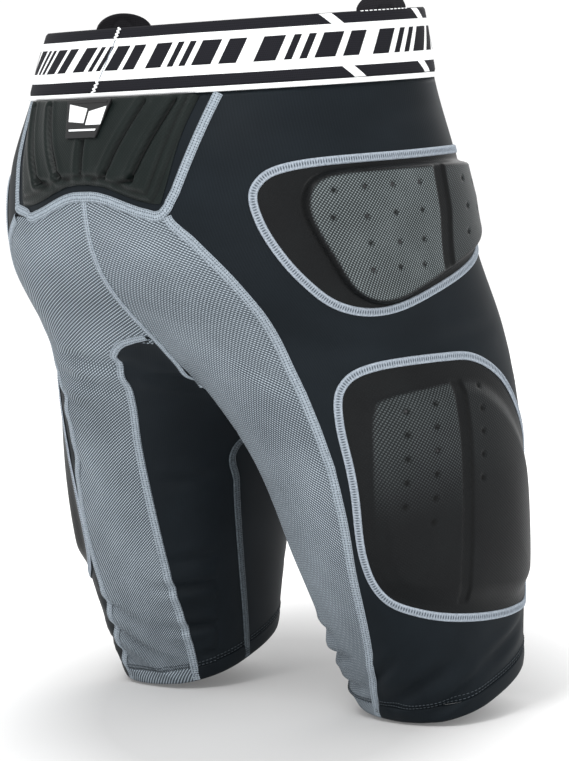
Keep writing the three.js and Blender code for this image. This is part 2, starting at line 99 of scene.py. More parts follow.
# Panel edges on each side, as height and angle: 0 points outwards, 90 back, 180 inwards. The
# worn legs are turned a little, so the two sides differ below the seat.
BACK_EDGE = {
    -1: [
        (-48, 50), (-68, 55), (-92, 61), (-115, 67), (-134, 72), (-154, 67), (-176, 63), (-200, 62),
        (-236, 65), (-290, 69), (-368, 75), (-444, 87), (-490, 106),
    ],
    1: [
        (-48, 50), (-68, 55), (-92, 60), (-115, 64), (-132, 65), (-146, 58), (-162, 52), (-184, 49),
        (-208, 50), (-232, 56), (-256, 64), (-280, 70), (-306, 72), (-352, 69), (-386, 70),
        (-428, 70), (-450, 66), (-470, 61), (-490, 58),
    ],
}
INNER_BACK_EDGE = {
    -1: [(-290, 178), (-300, 152), (-320, 143), (-384, 145), (-430, 147), (-490, 152)],
    1: [
        (-222, 116), (-226, 107), (-234, 101), (-244, 102), (-266, 107), (-306, 112), (-362, 120),
        (-408, 127), (-454, 135), (-490, 140),
    ],
}
INNER_TOP = {-1: -290, 1: -222}
INNER_FRONT_EDGE = [(-292, 176), (-310, 158), (-340, 161), (-404, 171), (-490, 184)]
FRONT_EDGE = [(-48, -56), (-200, -62), (-490, -72)]


def curve_through(pairs):
    """A smooth curve through (x, value) pairs, straight past its ends."""
    xs, ys = (np.array(v, float) for v in zip(*sorted(pairs)))
    chords = np.diff(ys) / np.diff(xs)
    gaps = np.diff(xs)
    middle = (chords[:-1] * gaps[1:] + chords[1:] * gaps[:-1]) / (gaps[1:] + gaps[:-1])
    slopes = np.concatenate([chords[:1], middle, chords[-1:]])

    def value(x):
        x = np.asarray(x, float)
        held = np.clip(x, xs[0], xs[-1])
        i = np.clip(np.searchsorted(xs, held, side="right") - 1, 0, len(gaps) - 1)
        t = (held - xs[i]) / gaps[i]
        inside = (
            ys[i] + (ys[i + 1] - ys[i]) * t * t * (3 - 2 * t)
            + gaps[i] * (slopes[i] * t * (1 - t) ** 2 - slopes[i + 1] * t * t * (1 - t))
        )
        past = np.where(x > xs[-1], slopes[-1], slopes[0]) * (x - held)
        return inside + past

    return value


LOFT = [curve_through([(s[0], s[k]) for s in STATIONS]) for k in range(1, 6)]
back_edges = {side: curve_through(pairs) for side, pairs in BACK_EDGE.items()}
inner_back_edges = {side: curve_through(pairs) for side, pairs in INNER_BACK_EDGE.items()}
inner_front_edge = curve_through(INNER_FRONT_EDGE)
front_edge = curve_through(FRONT_EDGE)


def smooth(t):
    t = np.clip(t, 0, 1)
    return t * t * (3 - 2 * t)


def section_at(z):
    low = np.minimum(z, 0)
    out, back, half, rear, front = (f(low) for f in LOFT)
    return np.maximum(out, 0), back, half, rear, front


def reach(section, x, y):
    """Below 1 inside the garment's section, above 1 outside it."""
    out, back, half, rear, front = section
    depth = np.abs((y - back) / np.where(y > back, rear, front)) ** LOBE_POWER
    a = (np.abs((x - out) / half) ** LOBE_POWER + depth) ** (1 / LOBE_POWER)
    b = (np.abs((x + out) / half) ** LOBE_POWER + depth) ** (1 / LOBE_POWER)
    least = np.minimum(a, b)
    total = np.exp((least - a) / LOBE_BLEND) + np.exp((least - b) / LOBE_BLEND)
    return least - LOBE_BLEND * np.log(total)


def bisect(inside, low, high, steps=24):
    for _ in range(steps):
        middle = (low + high) / 2
        within = inside(middle)
        low = np.where(within, middle, low)
        high = np.where(within, high, middle)
    return low


def middle_table(direction):
    """Heights and the angles at which the surface meets the middle plane there."""
    z = np.arange(CROTCH_Z - 28, 0.1, 0.25)
    section = section_at(z)
    zero = np.zeros_like(z)
    depth = bisect(lambda d: reach(section, 0, section[1] + direction * d) < 1, zero, zero + FAR)
    angle = np.degrees(np.arctan2(direction * depth, -section[0]))
    shut = reach(section, 0, section[1]) >= 1
    return z, np.where(shut, 180 * direction, angle)


MIDDLE = {1: middle_table(1), -1: middle_table(-1)}


def middle_angle(z, direction):
    return np.interp(z, *MIDDLE[direction])


def on_this_side(angle, z):
    """The angle, held between the middle plane's front and back where the section is open there."""
    for direction in (1, -1):
        limit = middle_angle(np.minimum(z, 0), direction)
        beyond = (np.abs(limit) < 179.9) & (angle * direction > limit * direction)
        angle = np.where(beyond, limit, angle)
    return angle


def bare(angle, z):
    """Points of the surface on the +X side, in millimetres."""
    angle, z = np.broadcast_arrays(np.asarray(angle, float), np.asarray(z, float))
    angle = on_this_side(angle, z)
    section = section_at(z)
    cos, sin = np.cos(angle * RAD), np.sin(angle * RAD)
    limit = np.where(cos < -1e-9, section[0] / np.maximum(-cos, 1e-9), FAR)
    radius = bisect(
        lambda r: reach(section, section[0] + r * cos, section[1] + r * sin) < 1,
        np.zeros_like(angle), np.minimum(limit, FAR),
    )
    x = section[0] + radius * cos
    y = section[1] + radius * sin
    hem_share = smooth((TILT_START_Z - z) / (TILT_START_Z - HEM_Z))
    waist_share = smooth(1 + z / WAIST_TILT_DEPTH)
    tilt = HEM_CANT * (x - LOFT[0](HEM_Z)) - HEM_TILT * (y - LOFT[1](HEM_Z))
    return np.stack([x, y, z + hem_share * tilt - waist_share * WAIST_TILT * y], -1)


def outward(angle, z):
    angle = on_this_side(np.asarray(angle, float), z)
    across = bare(angle + 0.6, z) - bare(angle - 0.6, z)
    down = bare(angle, z - 1.0) - bare(angle, z + 1.0)
    normal = np.cross(down, across)
    normal[..., 0] = np.where(bare(angle, z)[..., 0] < 0.2, 0, normal[..., 0])
    return normal / np.linalg.norm(normal, axis=-1, keepdims=True)


# ---- Drape: soft creases of the worn cloth ----
# Each crease has its side, or 0 for both, the (angle, height) of its two ends, its width and
# its depth in millimetres.
CREASES = [
    # the left leg
    (1, 66, -236, 112, -246, 8, 3.0), (1, 64, -252, 108, -262, 8, 2.4), (1, 60, -266, 92, -280, 9, 1.8),
    (1, 50, -430, 140, -482, 8, 2.8), (1, 56, -412, 112, -440, 8, 2.0),
    (1, 108, -404, 168, -416, 7, 2.6), (1, 112, -438, 174, -450, 7, 2.6),
    (1, 122, -386, 158, -392, 8, 1.5), (1, 86, -458, 134, -486, 6, 2.0),
    (1, 118, -326, 150, -334, 9, 1.5), (1, 110, -250, 140, -262, 6, 2.2),
    (1, 140, -468, 178, -472, 7, 2.2), (1, 84, -474, 26, -446, 10, 2.2),
    (1, 20, -470, -40, -452, 9, 2.0),
    # the right leg
    (-1, 104, -440, 160, -452, 7, 3.6), (-1, 100, -464, 164, -474, 7, 3.0),
    (-1, 112, -424, 150, -430, 8, 2.0), (-1, 84, -476, 26, -446, 10, 2.8),
    (-1, 92, -458, 60, -434, 8, 2.0), (-1, 50, -484, 6, -462, 9, 2.4),
    (-1, 10, -460, -40, -452, 9, 2.0),
    # both sides
    (0, 20, -224, 54, -234, 11, 1.4), (0, -30, -230, 10, -234, 12, 1.2),
    (0, 66, -146, 92, -154, 12, 0.9), (0, -60, -240, -110, -262, 11, 2.4),
    (0, -50, -262, -100, -282, 11, 1.8), (0, -80, -420, -130, -436, 9, 1.8),
    (0, -20, -64, 30, -78, 14, 1.0), (0, 66, -300, 84, -334, 10, 1.0), (0, 84, -232, 66, -262, 12, 1.2),
]
LEG_RADIUS = 90  # about the thigh's, to turn angles into distances round the cloth


def segment_distance(u, v, start, end):
    """Distance from points (u, v) to a segment, and how far along it each foot lies."""
    du, dv = end[0] - start[0], end[1] - start[1]
    t = np.clip(((u - start[0]) * du + (v - start[1]) * dv) / (du * du + dv * dv), 0, 1)
    return np.hypot(u - start[0] - t * du, v - start[1] - t * dv), t


def drape(side, angle, z):
    """How far the cloth lies off the plain surface, in millimetres."""
    turn = (np.asarray(angle) + 205) % 360 - 205  # the inner front edge lies near -180
    off = np.zeros(np.broadcast(turn, z).shape)
    scale = LEG_RADIUS * RAD
    for crease_side, a0, z0, a1, z1, width, depth in CREASES:
        if crease_side == -side:
            continue
        away, t = segment_distance(turn * scale, z, (a0 * scale, z0), (a1 * scale, z1))
        swell = 0.7 * np.exp(-(((away - width) / (0.6 * width)) ** 2))
        off += depth * np.sin(np.pi * np.clip(t, 0.02, 0.98)) ** 0.8 * (
            swell - np.exp(-((away / (0.45 * width)) ** 2))
        )
    return off


def at(side, angle, z, offset):
    """Points of one side's surface in metres, offset in millimetres along the normal."""
    angle, z = np.broadcast_arrays(np.asarray(angle, float), np.asarray(z, float))
    shift = np.asarray(offset + drape(side, angle, z))[..., None]
    points = (bare(angle, z) + outward(angle, z) * shift) * MM
    points[..., 0] = np.maximum(points[..., 0], 0) * side
    return points


def around(turn, z, offset):
    """Points of the torso's ring: 0 is the centre front, 0.5 the centre back, by the left side."""
    turn, z = np.broadcast_arrays(np.asarray(turn, float) % 1, np.asarray(z, float))
    side = np.where(turn < 0.5, 1, -1)
    share = np.where(turn < 0.5, 2 * turn, 2 - 2 * turn)
    low = np.minimum(z, 0)
    angle = middle_angle(low, -1) * (1 - share) + middle_angle(low, 1) * share
    shift = np.broadcast_to(np.asarray(offset, float), turn.shape)[..., None]
    points = (bare(angle, z) + outward(angle, np.minimum(z, -1)) * shift) * MM
    points[..., 0] *= side
    return points


# ---- Meshes ----
def rows_apart(points):
    """Running length along axis 1, in metres, counted from the middle column."""
    steps = np.linalg.norm(np.diff(points, axis=1), axis=-1)
    run = np.concatenate([np.zeros((len(points), 1)), np.cumsum(steps, axis=1)], axis=1)
    return run - run[:, run.shape[1] // 2, None]


def surface_uv(points):
    """Distances across and down the cloth."""
    u = rows_apart(points)
    v = rows_apart(points.transpose(1, 0, 2)).transpose()
    return np.stack([u, -v], -1)


def new_piece(name, vertices, faces, corner_uv, materials, slots=None):
    mesh = bpy.data.meshes.new(name)
    mesh.from_pydata(vertices.tolist(), [], faces)
    uv = mesh.uv_layers.new(name="UVMap")
    uv.data.foreach_set("uv", np.asarray(corner_uv, np.float32).ravel())
    for material in materials:
        mesh.materials.append(material)
    if slots is not None:
        mesh.polygons.foreach_set("material_index", np.asarray(slots, np.int32))
    mesh.polygons.foreach_set("use_smooth", [True] * len(mesh.polygons))
    mesh.validate()
    piece = bpy.data.objects.new(name, mesh)
    bpy.context.scene.collection.objects.link(piece)
    return piece


def pick(*pieces):
    """Selects these pieces alone and makes the first one active."""
    bpy.ops.object.select_all(action="DESELECT")
    for piece in pieces:
        piece.select_set(True)
    bpy.context.view_layer.objects.active = pieces[0]


def finish_modifiers(piece):
    pick(piece)
    for modifier in list(piece.modifiers):
        bpy.ops.object.modifier_apply(modifier=modifier.name)
    return piece


def sheet_piece(name, points, materials, uv=None, loop=False, keep=None, thick=1.0, marks=None,
                slots=None, inside=None):
    """A sheet with a wall, from a grid of outer points. inside is a point that its back faces."""
    rows, columns = points.shape[:2]
    uv = surface_uv(points) if uv is None else uv
    count = columns if loop else columns - 1
    i, j = (a.ravel() for a in np.meshgrid(np.arange(rows - 1), np.arange(count), indexing="ij"))
    following = (j + 1) % columns
    here, below = i * columns, (i + 1) * columns
    quads = np.stack([here + j, here + following, below + following, below + j], -1)
    corners = np.stack([uv[i, j], uv[i, following], uv[i + 1, following], uv[i + 1, j]], 1)
    if loop:
        lap = np.linalg.norm(points[:, 0] - points[:, -1], axis=-1)
        last = j == columns - 1
        corners[last, 1, 0] = corners[last, 0, 0] + lap[i[last]]
        corners[last, 2, 0] = corners[last, 3, 0] + lap[i[last] + 1]
    wanted = np.ones(len(quads), bool) if keep is None else keep[i, j]
    quads, corners = quads[wanted], corners[wanted]
    flat = points.reshape(-1, 3)
    a, b, c = flat[quads[:, 0]], flat[quads[:, 1]], flat[quads[:, 3]]
    normals = np.cross(b - a, c - a)
    heart = np.array([0.0, 0.0, -0.2]) if inside is None else np.asarray(inside)
    if (normals * (a - heart)).sum() < 0:
        quads, corners = quads[:, ::-1], corners[:, ::-1]
    used, index = np.unique(quads, return_inverse=True)
    face_slots = None if slots is None else slots[i, j][wanted]
    piece = new_piece(name, flat[used], index.reshape(-1, 4).tolist(), corners.reshape(-1, 2),
                      materials, face_slots)
    for mark, values in (marks or {}).items():
        layer = piece.data.attributes.new(mark, "FLOAT", "POINT")
        layer.data.foreach_set("value", values.ravel()[used].astype(np.float32))
    if thick:
        wall = piece.modifiers.new("wall", "SOLIDIFY")
        wall.thickness = thick * MM
        wall.offset = -1
        finish_modifiers(piece)
    return piece


WIDEST = 1.3  # the hips' radius over the thigh's


def panel_grid(left, right, top, bottom, step, span):
    """Angles and heights of a panel between two edges and two lines, span degrees across."""
    high, low = float(top(0)), float(bottom(0))
    columns = max(10, int(span * LEG_RADIUS * WIDEST * RAD / step))
    rows = max(8, int((high - low) / step))
    share, drop = np.meshgrid(np.linspace(0, 1, columns + 1), np.linspace(0, 1, rows + 1))
    z = high + (low - high) * drop
    for _ in range(6):
        angle = left(z) * (1 - share) + right(z) * share
        z = top(angle) * (1 - drop) + bottom(angle) * drop
    return angle, z


def level(height):
    return lambda angle: np.zeros_like(np.asarray(angle, float)) + height


# ---- Seams ----
THREAD_PITCH = 1.9  # one cross thread of the flatlock stitch
RIB_STEPS = 4  # points of the mesh along one thread
SEAM_HEIGHT = 1.15
LOOP_HEIGHT = 0.35


def resample(points, normals, step, closed):
    """The path at even steps, with its normals."""
    if closed:
        points = np.concatenate([points, points[:1]])
        normals = np.concatenate([normals, normals[:1]])
    run = np.concatenate([[0], np.cumsum(np.linalg.norm(np.diff(points, axis=0), axis=1))])
    count = max(8, int(round(run[-1] / step / RIB_STEPS)) * RIB_STEPS)
    places = np.linspace(0, run[-1], count + 1)
    if closed:
        places = places[:-1]
    even = np.stack([np.interp(places, run, points[:, k]) for k in range(3)], -1)
    facing = np.stack([np.interp(places, run, normals[:, k]) for k in range(3)], -1)
    return even, facing / np.linalg.norm(facing, axis=1, keepdims=True), places


def forward(points, closed):
    """Directions along a path, from each point's neighbour behind to the one ahead."""
    if closed:
        return np.roll(points, -1, 0) - np.roll(points, 1, 0)
    return np.concatenate([points[1:], points[-1:]]) - np.concatenate([points[:1], points[:-1]])


def flatlock(name, points, normals, material, width, closed=False):
    """A flatlock seam: ribbed cross threads with a raised row of loops along each edge."""
    points, normals, run = resample(points, normals, THREAD_PITCH * MM / RIB_STEPS, closed)
    across = np.cross(normals, forward(points, closed))
    across /= np.linalg.norm(across, axis=1, keepdims=True)
    places = np.linspace(-0.5, 0.5, 11)
    crown = np.clip(1 - np.abs(2 * places) ** 6, 0, 1)
    phase = 2 * np.pi * run / (THREAD_PITCH * MM)
    rib = 0.5 + 0.5 * np.cos(phase)
    loops = np.exp(-(((np.abs(places) - 0.36) / 0.09) ** 2))
    height = crown[:, None] * (
        SEAM_HEIGHT * (0.45 + 0.4 * rib)[None, :]
        + LOOP_HEIGHT * loops[:, None] * (0.5 + 0.5 * np.cos(phase + 2.4))[None, :]
    )
    top = points[None] + across[None] * (places * width * MM)[:, None, None]
    top = top + normals[None] * (height * MM + 0.1 * MM)[..., None]
    uv = np.stack(np.broadcast_arrays(run[None, :], (places * width * MM)[:, None]), -1)
    heart = points.mean(0) - normals.mean(0) * 0.4
    return sheet_piece(name, top, [material], uv=uv, loop=closed, thick=0.35, inside=heart)


def path_on(side, angle, z):
    angle, z = np.broadcast_arrays(np.asarray(angle, float), np.asarray(z, float))
    normals = outward(angle, z)
    normals[..., 0] *= side
    return at(side, angle, z, 0), normals


def middle_path(direction, heights):
    angle = middle_angle(heights, direction)
    points = at(1, angle, heights, 0)
    points[:, 0] = 0
    along = np.gradient(points, axis=0)
    normals = np.stack([0 * heights, -along[:, 2], along[:, 1]], -1)
    normals *= np.sign(normals[:, 1:2] * direction)
    return points, normals / np.linalg.norm(normals, axis=1, keepdims=True)


# ---- Materials ----
def linear(hex_colour):
    parts = [int(hex_colour[k:k + 2], 16) / 255 for k in (1, 3, 5)]
    return [p / 12.92 if p <= 0.04045 else ((p + 0.055) / 1.055) ** 2.4 for p in parts] + [1.0]


def add_node(tree, kind, inputs, give=0, stops=(), **settings):
    """Adds a node with its settings, values, links and colour stops, and gives one of its outputs."""
    node = tree.nodes.new(kind)
    for key, value in settings.items():
        setattr(node, key, value)
    for socket, value in inputs.items():
        if isinstance(value, bpy.types.NodeSocket):
            tree.links.new(value, node.inputs[socket])
        else:
            node.inputs[socket].default_value = value
    if stops:
        while len(node.color_ramp.elements) < len(stops):
            node.color_ramp.elements.new(0.5)
        for element, (place, colour) in zip(node.color_ramp.elements, stops):
            element.position = place
            element.color = linear(colour)
    return node.outputs[give]


def start_material(name, roughness, specular):
    material = bpy.data.materials.new(name)
    material.use_nodes = True
    tree = material.node_tree
    shader = tree.nodes["Principled BSDF"]
    shader.inputs["Roughness"].default_value = roughness
    shader.inputs["Specular IOR Level"].default_value = specular
    return material, tree, shader, add_node(tree, "ShaderNodeUVMap", {})


def dress(tree, shader, colour, height, depth, strength):
    """Gives a finish its colour, and a fine relief depth millimetres high."""
    tree.links.new(colour, shader.inputs["Base Color"])
    relief = {"Height": height, "Strength": strength, "Distance": depth * MM}
    tree.links.new(add_node(tree, "ShaderNodeBump", relief), shader.inputs["Normal"])


def thread_rows(tree, uv, pitch, turn):
    """Even rows of thread, one each pitch in millimetres, turned by turn degrees on the cloth."""
    turned = add_node(tree, "ShaderNodeMapping", {"Vector": uv, "Rotation": (0, 0, turn * RAD)})
    scale = 1 / (pitch * MM) * 2 * math.pi / 20
    return add_node(tree, "ShaderNodeTexWave", {"Vector": turned, "Scale": scale}, "Fac")


def patchiness(tree, uv, size):
    """Slow cloudy variation of the dye or the fibre, in spots about size millimetres wide."""
    spots = {"Vector": uv, "Scale": 1 / (size * MM), "Detail": 3.0}
    return add_node(tree, "ShaderNodeTexNoise", spots, "Fac")


def blend_of(tree, a, share_a, b, share_b):
    """Two patterns added, each at its own share."""
    part = add_node(tree, "ShaderNodeMath", {0: b, 1: share_b}, operation="MULTIPLY")
    return add_node(tree, "ShaderNodeMath", {0: a, 1: share_a, 2: part}, operation="MULTIPLY_ADD")


def warp_knit_mesh():
    """Polyester warp-knit mesh: fine diagonal wales with small holes, matt, slightly two-toned.

    The real knit is finer; it is drawn as coarse as it needs to be to show.
    """
    material, tree, shader, uv = start_material("warp_knit_mesh", 0.8, 0.2)
    wales = thread_rows(tree, uv, 1.75, 52)
    courses = thread_rows(tree, uv, 1.5, -38)
    eased = add_node(tree, "ShaderNodeMath", {0: courses, 1: 0.5, 2: 0.5}, operation="MULTIPLY_ADD")
    holes = add_node(tree, "ShaderNodeMath", {0: wales, 1: eased}, operation="MULTIPLY")
    tone = blend_of(tree, holes, 0.75, patchiness(tree, uv, 60), 0.3)
    shades = [(0.06, "#22272b"), (0.45, "#5b646c"), (0.88, "#b8c3cc")]
    colour = add_node(tree, "ShaderNodeValToRGB", {"Fac": tone}, stops=shades)
    dress(tree, shader, colour, holes, 0.35, 0.6)
    return material


def stretch_lycra(name, dark, light, roughness, specular):
    """Nylon-elastane jersey: hair-fine wales under a satin face that shows broad soft highlights."""
    material, tree, shader, uv = start_material(name, roughness, specular)
    wales = thread_rows(tree, uv, 1.3, 0)
    cloud = patchiness(tree, uv, 45)
    tone = blend_of(tree, wales, 0.2, cloud, 0.7)
    colour = add_node(tree, "ShaderNodeValToRGB", {"Fac": tone}, stops=[(0.2, dark), (0.75, light)])
    dress(tree, shader, colour, blend_of(tree, wales, 1.0, cloud, 0.5), 0.05, 0.4)
    return material


def marked(tree, mark, plain, other):
    """Mixes two colours by one of the piece's own marks."""
    layer = add_node(tree, "ShaderNodeAttribute", {}, "Fac", attribute_name=mark)
    return add_node(tree, "ShaderNodeMix", {0: layer, 6: plain, 7: other}, 2, data_type="RGBA")


def pad_cover(name, dark, light, roughness, net=None):
    """Stretch jersey pulled tight over moulded foam; painted shade darkens the foam's pits into dark dots,
    and the channels and edges that the piece marks.

    Where the cover is net, pale knots show on the dark foam.
    """
    material, tree, shader, uv = start_material(name, roughness, 0.12)
    threads = {0: thread_rows(tree, uv, 1.7, 48), 1: thread_rows(tree, uv, 1.7, -42)}
    knots = add_node(tree, "ShaderNodeMath", threads, operation="MULTIPLY")
    cloud = patchiness(tree, uv, 30)
    tone = blend_of(tree, knots, 0.25, cloud, 0.6)
    colour = add_node(tree, "ShaderNodeValToRGB", {"Fac": tone}, stops=[(0.15, dark), (0.85, light)])
    if net:
        pale = blend_of(tree, knots, 0.9, cloud, 0.25)
        shades = [(0.15, net[0]), (0.9, net[1])]
        knotted = add_node(tree, "ShaderNodeValToRGB", {"Fac": pale}, stops=shades)
        colour = marked(tree, "net", colour, knotted)
    # Painted shade: where the piece is marked, in pits, channels and under edges, the colour goes near black.
    colour = marked(tree, "painted_shade", colour, linear("#050606"))
    dress(tree, shader, colour, knots, 0.2, 0.5)
    return material


def flatlock_thread(name, slot_dark, dark, light, rows):
    """Textured polyester thread laid across a seam, with dark gaps between its turns.

    rows are the places across the seam, in millimetres from its middle, where gaps show, and
    how wide each is.
    """
    material, tree, shader, uv = start_material(name, 0.75, 0.2)
    across = add_node(tree, "ShaderNodeSeparateXYZ", {"Vector": uv}, "Y")
    apart = add_node(tree, "ShaderNodeMath", {0: across}, operation="ABSOLUTE")
    away = add_node(tree, "ShaderNodeMath", {0: apart, 1: 1 / MM}, operation="MULTIPLY")
    held = 0.0
    for place, half in rows:
        past = add_node(tree, "ShaderNodeMath", {0: away, 1: place}, operation="SUBTRACT")
        off = add_node(tree, "ShaderNodeMath", {0: past}, operation="ABSOLUTE")
        slope = {0: off, 1: -1 / half, 2: 1.3}
        row = add_node(tree, "ShaderNodeMath", slope, operation="MULTIPLY_ADD", use_clamp=True)
        held = add_node(tree, "ShaderNodeMath", {0: held, 1: row}, operation="MAXIMUM")
    gaps = thread_rows(tree, uv, THREAD_PITCH, 0)
    slots = add_node(tree, "ShaderNodeMath", {0: gaps, 1: held}, operation="MULTIPLY")
    fluff = patchiness(tree, uv, 1.6)
    thread = add_node(tree, "ShaderNodeValToRGB", {"Fac": fluff}, stops=[(0.3, dark), (0.7, light)])
    parts = {0: slots, 6: thread, 7: linear(slot_dark)}
    colour = add_node(tree, "ShaderNodeMix", parts, 2, data_type="RGBA")
    height = add_node(tree, "ShaderNodeMath", {0: fluff, 1: slots}, operation="SUBTRACT")
    dress(tree, shader, colour, height, 0.2, 0.6)
    return material


def woven_elastic(name, dark, light):
    """Woven elastic: close cross ribs over rubber cores, with a dry matt face."""
    material, tree, shader, uv = start_material(name, 0.8, 0.15)
    weave = blend_of(tree, thread_rows(tree, uv, 1.6, 90), 0.5, thread_rows(tree, uv, 1.4, 0), 0.5)
    colour = add_node(tree, "ShaderNodeValToRGB", {"Fac": weave}, stops=[(0.1, dark), (0.6, light)])
    dress(tree, shader, colour, weave, 0.08, 0.4)
    return material


def moulded_rubber(name, colour, roughness):
    """Moulded rubber or foam: smooth and satin, or dull, with a faint grain."""
    material, tree, shader, _ = start_material(name, roughness, 0.4)
    shader.inputs["Base Color"].default_value = linear(colour)
    place = add_node(tree, "ShaderNodeTexCoord", {}, "Object")
    relief = {"Height": patchiness(tree, place, 0.8), "Strength": 0.4, "Distance": 0.05 * MM}
    tree.links.new(add_node(tree, "ShaderNodeBump", relief), shader.inputs["Normal"])
    return material


MESH = warp_knit_mesh()
LYCRA = stretch_lycra("stretch_lycra", "#101519", "#191f24", 0.56, 0.08)
MOULDED = pad_cover("moulded_jersey", "#111716", "#1e2524", 0.4)
COVER = pad_cover("pad_cover_jersey", "#0b0c0e", "#141718", 0.46, ("#202526", "#7f8789"))
FOAM = moulded_rubber("closed_cell_foam", "#313133", 0.9)
THREAD = flatlock_thread("seam_thread", "#414951", "#858e98", "#a5aeb8", [(0.0, 1.7)])
CHAIN = flatlock_thread("chain_stitch_thread", "#343b41", "#7d8790", "#a3adb6", [(1.35, 0.5), (2.9, 0.3)])
CHAIN_DARK = flatlock_thread("dark_chain_stitch", "#1f2427", "#3c4348", "#5b646b", [(1.35, 0.5)])
HEM_THREAD = stretch_lycra("dark_thread", "#2c3236", "#4c5359", 0.7, 0.15)
WHITE = woven_elastic("white_elastic", "#e6e8ea", "#fcfdfd")
BLACK = woven_elastic("black_elastic", "#0f1014", "#1a1a20")
WEBBING = woven_elastic("black_webbing", "#111013", "#1f1e22")
BADGE = moulded_rubber("badge_rubber", "#131415", 0.45)
BADGE_PALE = moulded_rubber("badge_pale_rubber", "#eff1f2", 0.5)


# ---- Riding on the pelvis, and hiding the parts each piece stands for ----
SIDES = {"right": -1, "left": 1}


def hips(piece, slot, *nodes):
    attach(piece, "pelvis")
    if nodes:
        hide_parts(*nodes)
    return piece


def thigh(piece, suffix, slot, *nodes):
    """Bakes the piece's placement into its mesh and hides the parts it stands for."""
    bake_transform(piece)
    if nodes:
        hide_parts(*nodes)
    return piece


# ---- Panels ----
YOKE_DROOP = 14.0  # how far the yoke's lower corners hang below its middle
RELAXED = 0.87  # the area of the cut cloth over its area when it is worn


def yoke_low(turn):
    """Height of the yoke's lower edge, turn degrees from the middle of the back."""
    return YOKE_BOTTOM + 3 - YOKE_DROOP * smooth((np.abs(turn) - 2) / 24)


def add_panels(suffix):
    side = SIDES[suffix]

    def cloth(name, material, angle, z, slot, *nodes):
        points = at(side, angle, z, 0)
        heart = [side * 0.09, -0.01, float(points[..., 2].mean())]
        uv = np.stack([angle * RAD * LEG_RADIUS * MM, z * MM], -1)
        piece = sheet_piece(name + "_" + suffix, points, [material], uv=uv, inside=heart)
        thigh(piece, suffix, slot, *nodes)
        length = float(np.ptp(surface_uv(points)[..., 1])) * RELAXED ** 0.5

    back_edge, inner_back_edge = back_edges[side], inner_back_edges[side]
    inner_top = INNER_TOP[side]
    foot = level(HEM_Z + HEM_HEIGHT)

    def inner_of_seat(z):
        middle = middle_angle(z, 1)
        return np.where(z > inner_top, middle, np.minimum(inner_back_edge(z), middle))

    def seat_top(angle):
        return yoke_low(middle_angle(YOKE_BOTTOM, 1) - angle)

    angle, z = panel_grid(back_edge, inner_of_seat, seat_top, foot, 3.5, 55)
    cloth("seat_cloth", MESH, angle, z, "grey_mesh", "seat_panel_" + suffix, "leg_back_panel_" + suffix)

    angle, z = panel_grid(front_edge, back_edge, level(PANEL_TOP), foot, 4.0, 140)
    cloth("side_cloth", LYCRA, angle, z, "black_lycra", "hip_panel_" + suffix, "leg_side_panel_" + suffix)

    def inner_front(z):
        return np.where(z > CROTCH_Z, middle_angle(z, 1), inner_front_edge(z))

    angle, z = panel_grid(inner_back_edge, inner_front, level(inner_top), foot, 3.0, 50)
    cloth("inner_cloth", LYCRA, angle, z, "black_lycra", "leg_inner_panel_" + suffix)

    def front_inner(z):
        return np.where(z > CROTCH_Z, middle_angle(z, -1), inner_front_edge(z) - 360)

    angle, z = panel_grid(front_inner, front_edge, level(PANEL_TOP), foot, 4.0, 90)
    cloth("front_cloth", LYCRA, angle, z, "black_lycra", "front_panel_" + suffix,
          "leg_front_panel_" + suffix, "leg_flex_" + suffix)


def add_hem(suffix):
    side = SIDES[suffix]
    turns = np.linspace(-180, 180, 181)[:-1]
    heights = np.linspace(HEM_Z + HEM_HEIGHT, HEM_Z, 8)
    angle, z = np.meshgrid(turns, heights)
    belly = 0.5 * np.sin(np.pi * (z - HEM_Z) / HEM_HEIGHT)
    half_way = HEM_Z + HEM_HEIGHT / 2
    back = (turns >= back_edges[side](half_way)) & (turns < inner_back_edges[side](half_way))
    slots = np.broadcast_to(back.astype(int), z.shape)
    heart = [side * 0.127, -0.02, -0.48]
    piece = sheet_piece("hem_" + suffix, at(side, angle, z, 0.35 + belly), [LYCRA, MESH], loop=True,
                        thick=2.2, slots=slots, inside=heart)
    thigh(piece, suffix, "black_lycra", "hem_band_" + suffix)


# ---- Pockets ----
def closed_spline(pairs, count=160):
    """A smooth closed curve through the pairs."""
    points = np.array(pairs, float)
    t = np.linspace(0, len(points), count, endpoint=False)
    i = t.astype(int)
    f = (t - i)[:, None]
    p0, p1, p2, p3 = (points[(i + k) % len(points)] for k in (-1, 0, 1, 2))
    return 0.5 * (
        2 * p1 + (p2 - p0) * f + (2 * p0 - 5 * p1 + 4 * p2 - p3) * f ** 2
        + (3 * p1 - p0 - 3 * p2 + p3) * f ** 3
    )


def depth_inside(outline, u, v):
    """Distance from points to a closed outline, above 0 inside it."""
    flat_u, flat_v = u.ravel(), v.ravel()
    nearest = np.full(flat_u.shape, 1e9)
    inside = np.zeros(flat_u.shape, bool)
    for start, end in zip(outline, np.roll(outline, -1, 0)):
        nearest = np.minimum(nearest, segment_distance(flat_u, flat_v, start, end)[0])
        crosses = (start[1] > flat_v) != (end[1] > flat_v)
        rise = end[1] - start[1]
        where = start[0] + (flat_v - start[1]) * (end[0] - start[0]) / (rise if rise else 1e-9)
        inside ^= crosses & (flat_u < where)
    return np.where(inside, nearest, -nearest).reshape(u.shape)


